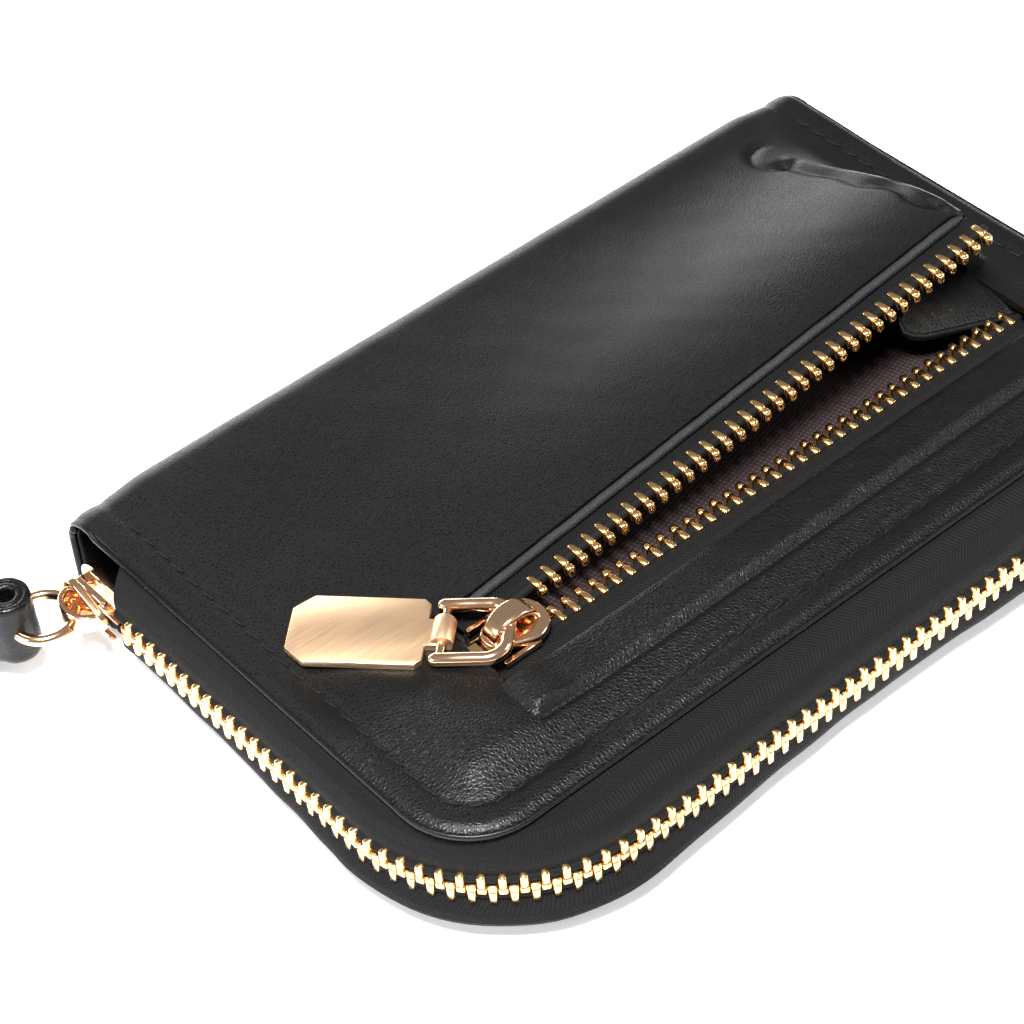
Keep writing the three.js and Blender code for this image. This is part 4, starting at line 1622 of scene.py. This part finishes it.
@dataclass
class CoinPocket:
    """The coin pocket's zip, its cloth bag, its slider and its pull."""

    mouth: CoinMouth
    row_end: float = 52.4
    pitch: float = 2.35
    row_shift: float = 3.0
    cord_off: float = 1.5
    cord_radius: float = 0.7
    tape_thick: float = 0.5
    binding_half: float = 0.62
    binding_end: float = 90.2
    bag_inset: float = 0.3
    bag_wall: float = 0.35

    @property
    def row_start(self) -> float:
        """Where the rows begin, beyond the slider."""
        return self.mouth.slider_x + 4.9

    def flap_frame(self) -> Matrix:
        """The place and tilt of the flap's row about the slider."""
        tilt = Matrix.Rotation(-math.radians(self.mouth.lift_deg), 4, "Y")
        return Matrix.Translation((self.mouth.slider_x, 0, self.mouth.chain_z)) @ tilt

    def build(self) -> None:
        """Builds every piece of the pocket."""
        tooth = Tooth(width=0.95, reach=0.95, leg=2.5, thick=2.0, head_round=0.42)
        self.front_half(tooth)
        self.flap_half(tooth)
        self.bag()

    def front_half(self, tooth: Tooth) -> None:
        """The row of teeth, cord and tape on the front lip.

        Args:
            tooth: The shape of each tooth.
        """
        mouth = self.mouth
        count = int((self.row_end - self.row_start) / self.pitch)
        places = []
        for i in range(count):
            middle = mouth.front_row(self.row_start + (i + 0.5) * self.pitch)
            places.append((middle, Vector((0, -1, 0)), UP))
        Piece(
            "front_coin_teeth", Finish.YELLOW_GOLD, "front_cover", Slot.YELLOW_GOLD,
            nodes=("coin_zip_front_teeth",), sharp_deg=50,
        ).make(tooth.row(places))
        steps = [lerp(mouth.left, mouth.right - 0.3, i / 60) for i in range(61)]
        cord = [mouth.front_row(x) + Vector((0, -self.cord_off, 0)) for x in steps]
        Piece("front_coin_cord", Finish.TAPE, "front_cover", Slot.TAPE).make(
            tube(cord, self.cord_radius)
        )
        stations = []
        for x, edge in zip(steps, cord):
            fold = 0.2 * ripple(2.1 * x, 3.0)
            stations.append([
                Vector((x, mouth.lip - 2.4, 16.0)),
                Vector((x, mouth.lip - 0.4, 16.3)),
                Vector((x, lerp(mouth.lip, edge.y, 0.3), lerp(16.9, edge.z, 0.3) + fold)),
                Vector((x, lerp(mouth.lip, edge.y, 0.7), lerp(17.0, edge.z, 0.7) + fold)),
                edge,
            ])
        shape = sweep(stations, across_mm=[0, 2, 3.4, 5.2, 6.6], along_mm=steps)
        Piece(
            "front_coin_tape", Finish.TAPE, "front_cover", Slot.TAPE,
            nodes=("coin_zip_front_tape",), levels=1, wall_mm=self.tape_thick, wall_side=0.0,
        ).make(shape)

    def flap_half(self, tooth: Tooth) -> None:
        """The row of teeth, cord, tape and folded edge on the flap.

        Args:
            tooth: The shape of each tooth.
        """
        mouth = self.mouth
        place = self.flap_frame()
        count = int((self.row_end - self.row_start) / self.pitch)
        chain = mouth.chain_y + self.row_shift
        places = []
        for i in range(count):
            middle = Vector((self.row_start + (i + 1) * self.pitch - mouth.slider_x, chain, 0))
            places.append((middle, Vector((0, 1, 0)), UP))
        row = tooth.row(places)
        bmesh.ops.transform(row, matrix=place, verts=row.verts)
        Piece(
            "flap_coin_teeth", Finish.YELLOW_GOLD, "coin_flap_teeth", Slot.YELLOW_GOLD,
            nodes=("coin_zip_flap_teeth",), sharp_deg=50,
        ).make(row)
        steps = [lerp(-4.0, self.row_end - mouth.slider_x + 0.8, i / 60) for i in range(61)]
        cord = [place @ Vector((x, chain + self.cord_off, 0)) for x in steps]
        Piece("flap_coin_cord", Finish.TAPE, "coin_flap_teeth", Slot.TAPE).make(
            tube(cord, self.cord_radius)
        )
        # the tape's points: how far behind the chain, how high, and whether they ripple
        section = [(self.cord_off, 0.0, 0), (3.4, -0.1, 1), (5.6, -0.15, 1), (8.0, -0.2, 0)]
        stations = []
        for x in steps:
            fold = 0.12 * ripple(2.3 * x, 7.0)
            stations.append(
                [place @ Vector((x, chain + off, z + fold * loose)) for off, z, loose in section]
            )
        across = [off - self.cord_off for off, _, _ in section]
        shape = sweep(stations, across_mm=across, along_mm=steps)
        tape = Piece(
            "flap_coin_tape", Finish.TAPE, "coin_flap_row", Slot.TAPE,
            nodes=("coin_zip_flap_tape",), levels=1, wall_mm=self.tape_thick, wall_side=0.0,
            free=True,
        ).make(shape)
        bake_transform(tape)
        stations = []
        start, end = -2.4, self.binding_end
        for x in [lerp(start, end - 0.2, i / 70) for i in range(71)]:
            ends = min(smooth(start, 0.5, x), smooth(end, end - 1.2, x))
            centre = Vector((x, mouth.flap_front - 0.5, 0.75 + 0.1 * ripple(1.7 * x, 5.0)))
            half = lerp(0.3, 1.0, ends)
            wide, high = self.binding_half * half, 0.6 * half
            row = ring_of(centre, Vector((0, 1, 0)), UP, wide, high, 14, squareness=0.75)
            stations.append([place @ p for p in row])
        Piece(
            "flap_binding", Finish.SUEDED_EDGE, "coin_flap_row", Slot.LEATHER,
            nodes=("coin_flap_binding",),
        ).make(sweep(stations, around=True))

    def bag(self) -> None:
        """The cloth bag under the mouth, which rises towards the slider."""
        low, high = (Vector(c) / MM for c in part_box("coin_pocket_bag"))
        stations = []
        for i in range(29):
            x = lerp(low.x + self.bag_inset, high.x - self.bag_inset, i / 28)
            slope = smooth(low.x + 34, low.x + 8, x)
            end = smooth(low.x, low.x + 2, x) * smooth(high.x, high.x - 2, x)
            deepest = low.z + self.bag_inset
            floor = lerp(high.z, lerp(deepest, high.z - 0.6, 0.8 * slope), end)
            row = []
            for j in range(17):
                y = lerp(low.y + self.bag_inset, high.y - self.bag_inset, j / 16)
                wall = smooth(low.y, low.y + 3, y) * smooth(high.y, high.y - 3, y)
                sag = 0.12 * ripple(1.5 * x, 1.5 * y)
                row.append(Vector((x, y, lerp(high.z, floor + sag, wall))))
            stations.append(row)
        shape = sweep(stations)
        Piece(
            "coin_bag_cloth", Finish.LINING, "front_cover", Slot.LINING,
            nodes=("coin_pocket_bag",), levels=1, wall_mm=self.bag_wall, wall_side=0.0,
        ).make(shape)


@dataclass
class CoinPull:
    """The coin zip's pull: a bent wire shackle, its pin and a brushed tab."""

    start: Vector
    heading_deg: float = 133.0
    length: float = 8.4
    half_width: float = 4.7
    wire: float = 0.92
    drop: float = 0.7
    tab_length: float = 18.0
    tab_half_width: float = 5.75
    tab_thick: float = 1.1
    tab_gap: float = 1.95
    chamfer: float = 2.6
    bend: float = 2.6
    tongue_half: float = 2.3
    tongue_back: float = 0.4
    pin_radius: float = 0.6
    roll_radius: float = 1.5
    roll_length: float = 4.2
    edge_round: float = 0.16

    def quarter(self, middle: Vector, start: float, steps: int) -> list[Vector]:
        """A bend of the wire.

        Args:
            middle: The bend's middle.
            start: The angle at which it begins.
            steps: How many steps a quarter turn has.

        Returns:
            The points of the bend.
        """
        angles = [start + math.pi / 2 * i / steps for i in range(steps + 1)]
        return [middle + self.bend * Vector((math.cos(a), math.sin(a), 0)) for a in angles]

    def build(self) -> None:
        """Builds the shackle, the pin and the tab, lying on the cover."""
        turn = Matrix.Rotation(math.radians(self.heading_deg), 4, "Z")
        slope = Matrix.Rotation(math.asin(self.drop / self.length), 4, "Y")
        link = Matrix.Translation(self.start) @ turn @ slope
        wide, bend = self.half_width, self.bend
        path = [Vector((self.length + 0.5, wide, 0)), Vector((self.length - 2, wide, 0))]
        path += self.quarter(Vector((bend, wide - bend, 0)), math.pi / 2, 8)
        path += self.quarter(Vector((bend, bend - wide, 0)), math.pi, 8)
        path += [Vector((self.length - 2, -wide, 0)), Vector((self.length + 0.5, -wide, 0))]
        shackle = tube(path, self.wire, count=16)
        bmesh.ops.transform(shackle, matrix=link, verts=shackle.verts)
        Piece(
            "pull_shackle", Finish.ROSE_GOLD, "coin_link", Slot.ROSE_GOLD,
            nodes=("coin_pull_link",),
        ).make(shackle)
        ends = [Vector((self.length, side * wide * 1.05, 0)) for side in (1, -1)]
        pin = tube(ends, self.pin_radius)
        bmesh.ops.transform(pin, matrix=link, verts=pin.verts)
        Piece("pull_pin", Finish.ROSE_GOLD, "coin_link", Slot.ROSE_GOLD).make(pin)
        self.tab(Matrix.Translation(link @ Vector((self.length, 0, 0))) @ turn)

    def tab(self, place: Matrix) -> None:
        """The tab with cut corners and a tongue rolled round the pin.

        Args:
            place: The pin's middle and the way that the tab points.
        """
        near, far = self.tab_gap, self.tab_gap + self.tab_length
        half, cut = self.tab_half_width, self.chamfer
        # one half of the outline, from the tongue's end to the far end's cut corner
        side = [
            (-self.tongue_back, self.tongue_half), (near + 0.2, self.tongue_half),
            (near + 0.2, half - 0.9), (near + 1.1, half), (far - cut, half), (far, half - cut * 0.9),
        ]
        outline = [(x, -y) for x, y in side[1:]] + side[::-1] + [(side[0][0], -side[0][1])]
        plate = bmesh.new()
        corners = [plate.verts.new((x, y, -self.tab_thick)) for x, y in outline]
        face = plate.faces.new(corners)
        grown = bmesh.ops.extrude_face_region(plate, geom=[face])["geom"]
        top = [g for g in grown if isinstance(g, bmesh.types.BMVert)]
        bmesh.ops.translate(plate, vec=UP * self.tab_thick, verts=top)
        bmesh.ops.recalc_face_normals(plate, faces=plate.faces)
        soften(plate, plate.edges, self.edge_round, 2)
        roll = bmesh.new()
        bmesh.ops.create_cone(
            roll, cap_ends=True, segments=28, radius1=self.roll_radius,
            radius2=self.roll_radius, depth=self.roll_length,
            matrix=Matrix.Translation((0, 0, -0.1)) @ Matrix.Rotation(math.pi / 2, 4, "X"),
        )
        rims = [e for e in roll.edges if len(e.link_faces) == 2 and e.calc_face_angle() > 1]
        soften(roll, rims, 0.2)
        shape = merged(plate, roll)
        bmesh.ops.transform(shape, matrix=place, verts=shape.verts)
        Piece(
            "pull_tab", Finish.SATIN_ROSE_GOLD, "coin_tab", Slot.ROSE_GOLD,
            nodes=("coin_pull_tab",), sharp_deg=30,
        ).make(shape)


# ------------------------------------------------------------------ the strap


def closed_curve(points: Sequence[Vector], count: int) -> list[Vector]:
    """A smooth closed line through some points, with evenly spread parameters.

    Args:
        points: What it passes through.
        count: How many points it has between each two of them.

    Returns:
        The points of the line.
    """
    line = []
    total = len(points)
    for i in range(total):
        a, b, c, d = (points[(i + k) % total] for k in (-1, 0, 1, 2))
        for j in range(count):
            t = j / count
            line.append(
                0.5 * (2 * b + (c - a) * t + (2 * a - 5 * b + 4 * c - d) * t * t
                       + (3 * b - a - 3 * c + d) * t ** 3)
            )
    return line


@dataclass
class WristStrap:
    """The wrist strap on its ring: folded round the ring, riveted, and open to a loop."""

    start: Vector
    heading_deg: float = 144.0
    ring_radius: float = 4.3
    wire: float = 0.8
    length: float = 148.0
    width: float = 10.5
    end_width: float = 10.2
    thick: float = 2.2
    fold: float = 2.35
    rivet: float = 13.0
    rivet_radius: float = 2.2
    rivet_dome: float = 1.0
    half_loop: float = 23.0

    def build(self) -> None:
        """Builds the ring, the strap and its rivet."""
        turn = Matrix.Rotation(math.radians(self.heading_deg), 4, "Z")
        middle = Vector((self.ring_radius, 0, 0))
        angles = [math.tau * i / 56 for i in range(56)]
        path = [
            middle + self.ring_radius * Vector((math.cos(a), math.sin(a), 0)) for a in angles
        ]
        ring = tube(path, self.wire, closed=True, count=14)
        place = Matrix.Translation(self.start) @ turn
        bmesh.ops.transform(ring, matrix=place, verts=ring.verts)
        Piece(
            "strap_end_ring", Finish.ROSE_GOLD, "ring", Slot.YELLOW_GOLD, nodes=("strap_ring",)
        ).make(ring)
        self.strap(turn)

    def strap(self, turn: Matrix) -> None:
        """The strap, standing on its edge, and the rivet through its two plies.

        Args:
            turn: The strap's heading.
        """
        far = 2 * self.ring_radius
        ply = self.thick / 2 + 0.08
        loop = self.half_loop
        # how far each point of one ply is from the ring, and from the strap's middle
        side = [
            (-self.fold * 0.7, self.fold * 0.72), (0.2, self.fold), (2.9, ply + 0.12), (5.5, ply),
            (self.rivet, ply), (20, ply + 0.6), (45, loop * 0.52), (80, loop * 0.95),
            (112, loop * 0.92), (136, loop * 0.56),
        ]
        there = [Vector((far + x, y, 0)) for x, y in side]
        back = [Vector((far + x, -y, 0)) for x, y in reversed(side)]
        tip = Vector((far + self.length - self.fold, 0, 0))
        first = Vector((far - self.fold, 0, 0))
        line = closed_curve([first, *there, tip, *back], 9)
        base = Matrix.Translation((self.start.x, self.start.y, 0)) @ turn
        stations = []
        for i, point in enumerate(line):
            along = (line[(i + 1) % len(line)] - line[i - 1]).normalized()
            out = along.cross(UP)
            away = smooth(far + 1, far + self.rivet - 4, point.x)
            width = lerp(self.end_width, self.width, away)
            low = (1 - away) * (self.start.z - self.end_width / 2)
            row = [
                (point + out * a * self.thick / 2).to_3d() + UP * (low + width * h)
                for a, h in self.section()
            ]
            stations.append([base @ p for p in row])
        Piece(
            "strap_leather", Finish.STRAP_LEATHER, "strap", Slot.LEATHER, nodes=("wrist_strap",)
        ).make(sweep(stations, around=True, along=True))
        self.rivet_head(base @ Matrix.Translation((far + self.rivet, 0, self.width / 2)), ply)

    def section(self) -> list[tuple[float, float]]:
        """The strap's section: two plies, a groove between them and a sunken line by each edge.

        Returns:
            For each point, its shares of half the thickness and of the width.
        """
        quarter = [(0.0, 0.035), (0.22, 0.0), (0.72, 0.004), (0.95, 0.04), (1.0, 0.1), (0.93, 0.17)]
        quarter += [(1.0, 0.24), (1.0, 0.5)]
        right = quarter + [(a, 1 - h) for a, h in reversed(quarter[:-1])]
        left = [(-a, h) for a, h in reversed(right[1:-1])]
        return right + left

    def rivet_head(self, place: Matrix, ply: float) -> None:
        """The rivet: a domed cap on each face of the strap.

        Args:
            place: The rivet's middle, with its axis along Y.
            ply: How far the middle of a ply is from the middle of the strap.
        """
        face = ply + self.thick / 2
        caps = []
        for sign in (1, -1):
            cap = bmesh.new()
            middle = (0, sign * (face + 0.05), 0)
            wide = self.rivet_radius
            size = Matrix.LocRotScale(middle, None, (wide, self.rivet_dome, wide))
            bmesh.ops.create_uvsphere(cap, u_segments=28, v_segments=14, radius=1.0, matrix=size)
            caps.append(cap)
        shape = merged(*caps)
        bmesh.ops.transform(shape, matrix=place, verts=shape.verts)
        Piece(
            "rivet_caps", Finish.YELLOW_GOLD, "strap", Slot.YELLOW_GOLD, nodes=("strap_rivet",)
        ).make(shape)


# ------------------------------------------------------------------ the inside


@dataclass
class Inside:
    """The linings, the card pockets, the boards and the zips' stops."""

    lining_corner: float = 4.0
    pocket_corner: float = 3.0
    corner_steps: int = 6
    rim_round: float = 0.15

    def build(self) -> None:
        """Builds the cloth sheets inside, and dresses the boards and the stops."""
        for half, body in (("back", "back"), ("front", "front_cover")):
            self.panel(f"{half}_lining", body, self.lining_corner)
            for count in (1, 2):
                self.panel(f"{half}_card_pocket_{count}", body, self.pocket_corner)
        dressed = {
            "back_cover_board": Finish.BOARD,
            "front_cover_board": Finish.BOARD,
            "coin_zip_bottom_stop": Finish.YELLOW_GOLD,
            "main_zip_bottom_stop": Finish.YELLOW_GOLD,
        }
        for node, finish in dressed.items():
            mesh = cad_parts[node].data
            mesh.materials.clear()
            mesh.materials.append(finish.material)
            log.info("dressed %s in %s", node, finish.value.name)

    def panel(self, node: str, body: str, corner: float) -> None:
        """A cloth sheet with round corners in the place of a node.

        Args:
            node: The node that it stands for.
            body: What it moves with.
            corner: The radius of its corners.
        """
        low, high = (Vector(c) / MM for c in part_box(node))
        shape = block(low, high)
        upright = [
            e for e in shape.edges if abs((e.verts[0].co - e.verts[1].co).normalized().z) > 0.9
        ]
        soften(shape, upright, corner, self.corner_steps)
        rims = [e for e in shape.edges if e.calc_face_angle() > 1.2]
        soften(shape, rims, self.rim_round, 2)
        Piece(f"{node}_sheet", Finish.LINING, body, Slot.LINING, nodes=(node,)).make(shape)


# ------------------------------------------------------------------ the studio


@dataclass
class Studio:
    """A pale floor, soft light and a camera above the front left corner."""

    eye: Vector
    pitch_deg: float
    yaw_deg: float
    roll_deg: float
    lens: float
    floor_half: float = 3.0
    floor_drop: float = 0.0002
    floor_glow: float = 0.4
    sky_glow: float = 0.3

    def build(self) -> None:
        """Sets the camera, the floor and the lights."""
        self.camera()
        self.floor()
        world = bpy.data.worlds.new("studio")
        bpy.context.scene.world = world
        world.use_nodes = True
        sky = world.node_tree.nodes["Background"]
        sky.inputs["Color"].default_value = linear("#ffffff")
        sky.inputs["Strength"].default_value = self.sky_glow
        self.softbox("overhead softbox", (-0.3, -0.25, 1.0), (0.26, 0.22), 44.0)
        self.softbox("back strip", (0.1, 1.3, 0.3), (1.6, 0.2), 12.0)
        self.softbox("left strip", (-1.2, 0.3, 0.5), (0.7, 0.3), 9.0)
        self.softbox("right fill", (1.0, -0.7, 0.7), (0.5, 0.4), 6.0)
        bpy.context.scene.view_settings.view_transform = "Standard"

    def floor(self) -> None:
        """Lays a sheet of white paper just under the wallet, bright enough to lose its edges."""
        shape = bmesh.new()
        bmesh.ops.create_grid(shape, x_segments=2, y_segments=2, size=self.floor_half)
        mesh = bpy.data.meshes.new("floor")
        shape.to_mesh(mesh)
        shape.free()
        floor = bpy.data.objects.new("floor", mesh)
        floor.location.z = -self.floor_drop
        material, _, shader = blank("matt white paper")
        shader.inputs["Base Color"].default_value = linear("#f3f3f4")
        shader.inputs["Roughness"].default_value = 0.9
        shader.inputs["Emission Color"].default_value = linear("#ffffff")
        shader.inputs["Emission Strength"].default_value = self.floor_glow
        mesh.materials.append(material)
        bpy.context.scene.collection.objects.link(floor)

    def camera(self) -> None:
        """Places the camera at the angle of the view."""
        pitch, yaw, roll = (math.radians(d) for d in (self.pitch_deg, self.yaw_deg, self.roll_deg))
        ahead = Vector((
            math.sin(yaw) * math.cos(pitch), math.cos(yaw) * math.cos(pitch), -math.sin(pitch)
        ))
        right = Vector((math.cos(yaw), -math.sin(yaw), 0))
        down = ahead.cross(right)
        tilted_right = right * math.cos(roll) + down * math.sin(roll)
        tilted_down = down * math.cos(roll) - right * math.sin(roll)
        axes = Matrix((tilted_right, -tilted_down, -ahead)).transposed().to_4x4()
        data = bpy.data.cameras.new("camera")
        data.lens = self.lens
        data.clip_start = 0.01
        camera = bpy.data.objects.new("camera", data)
        camera.matrix_world = Matrix.Translation(self.eye * MM) @ axes
        bpy.context.scene.collection.objects.link(camera)
        bpy.context.scene.camera = camera

    def softbox(
        self, name: str, place: Sequence[float], size: Sequence[float], power: float
    ) -> None:
        """A rectangular light that faces the wallet.

        Args:
            name: What the light is called.
            place: Where it stands, in metres.
            size: Its two sides, in metres.
            power: Its power in watts.
        """
        data = bpy.data.lights.new(name, "AREA")
        data.shape = "RECTANGLE"
        data.size, data.size_y = size
        data.energy = power
        light = bpy.data.objects.new(name, data)
        light.location = place
        light.rotation_euler = (-Vector(place)).to_track_quat("-Z", "Y").to_euler()
        bpy.context.scene.collection.objects.link(light)


def main() -> None:
    """Builds the wallet and its studio."""
    logging.basicConfig(level=logging.INFO, format="%(name)s: %(message)s")
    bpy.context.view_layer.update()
    Studio(
        eye=Vector((-189.95, -229.65, 291.54)),
        pitch_deg=44.05, yaw_deg=36.06, roll_deg=6.0, lens=104.81,
    ).build()
    line = CoverLine()
    mouth = CoinMouth()
    BackCover(line).build()
    cover = FrontCover(line, mouth)
    cover.build()
    Spine(cover).build()
    main_zip = MainZip(
        path=ThreeSides(side=69.0, front=-48.4, back=27.0, radius=24.0),
        under=ThreeSides(side=61.0, front=-37.0, back=33.0, radius=8.0),
    )
    main_zip.build()
    CoinPocket(mouth).build()
    coin_place = Matrix.Translation((mouth.slider_x, mouth.chain_y, mouth.chain_z))
    Slider(
        prefix="coin", body="coin_slider", length=9.6, half_width=4.2, channel=1.45,
        place=coin_place,
    ).build()
    # the main slider faces out of the wallet's left side, past the chain's end
    axes = Matrix(((0, 0, -1), (1, 0, 0), (0, -1, 0))).to_4x4()
    main_place = Matrix.Translation((-main_zip.path.side, 32.95, main_zip.level)) @ axes
    Slider(
        prefix="main", body="main_slider", length=10.5, half_width=3.6, channel=1.45,
        place=main_place,
    ).build()
    CoinPull(start=Vector((-39.209, -19.3, 20.65))).build()
    WristStrap(start=Vector((-72.4, 32.8, 9.0))).build()
    Inside().build()


if __name__ == "__main__":
    main()
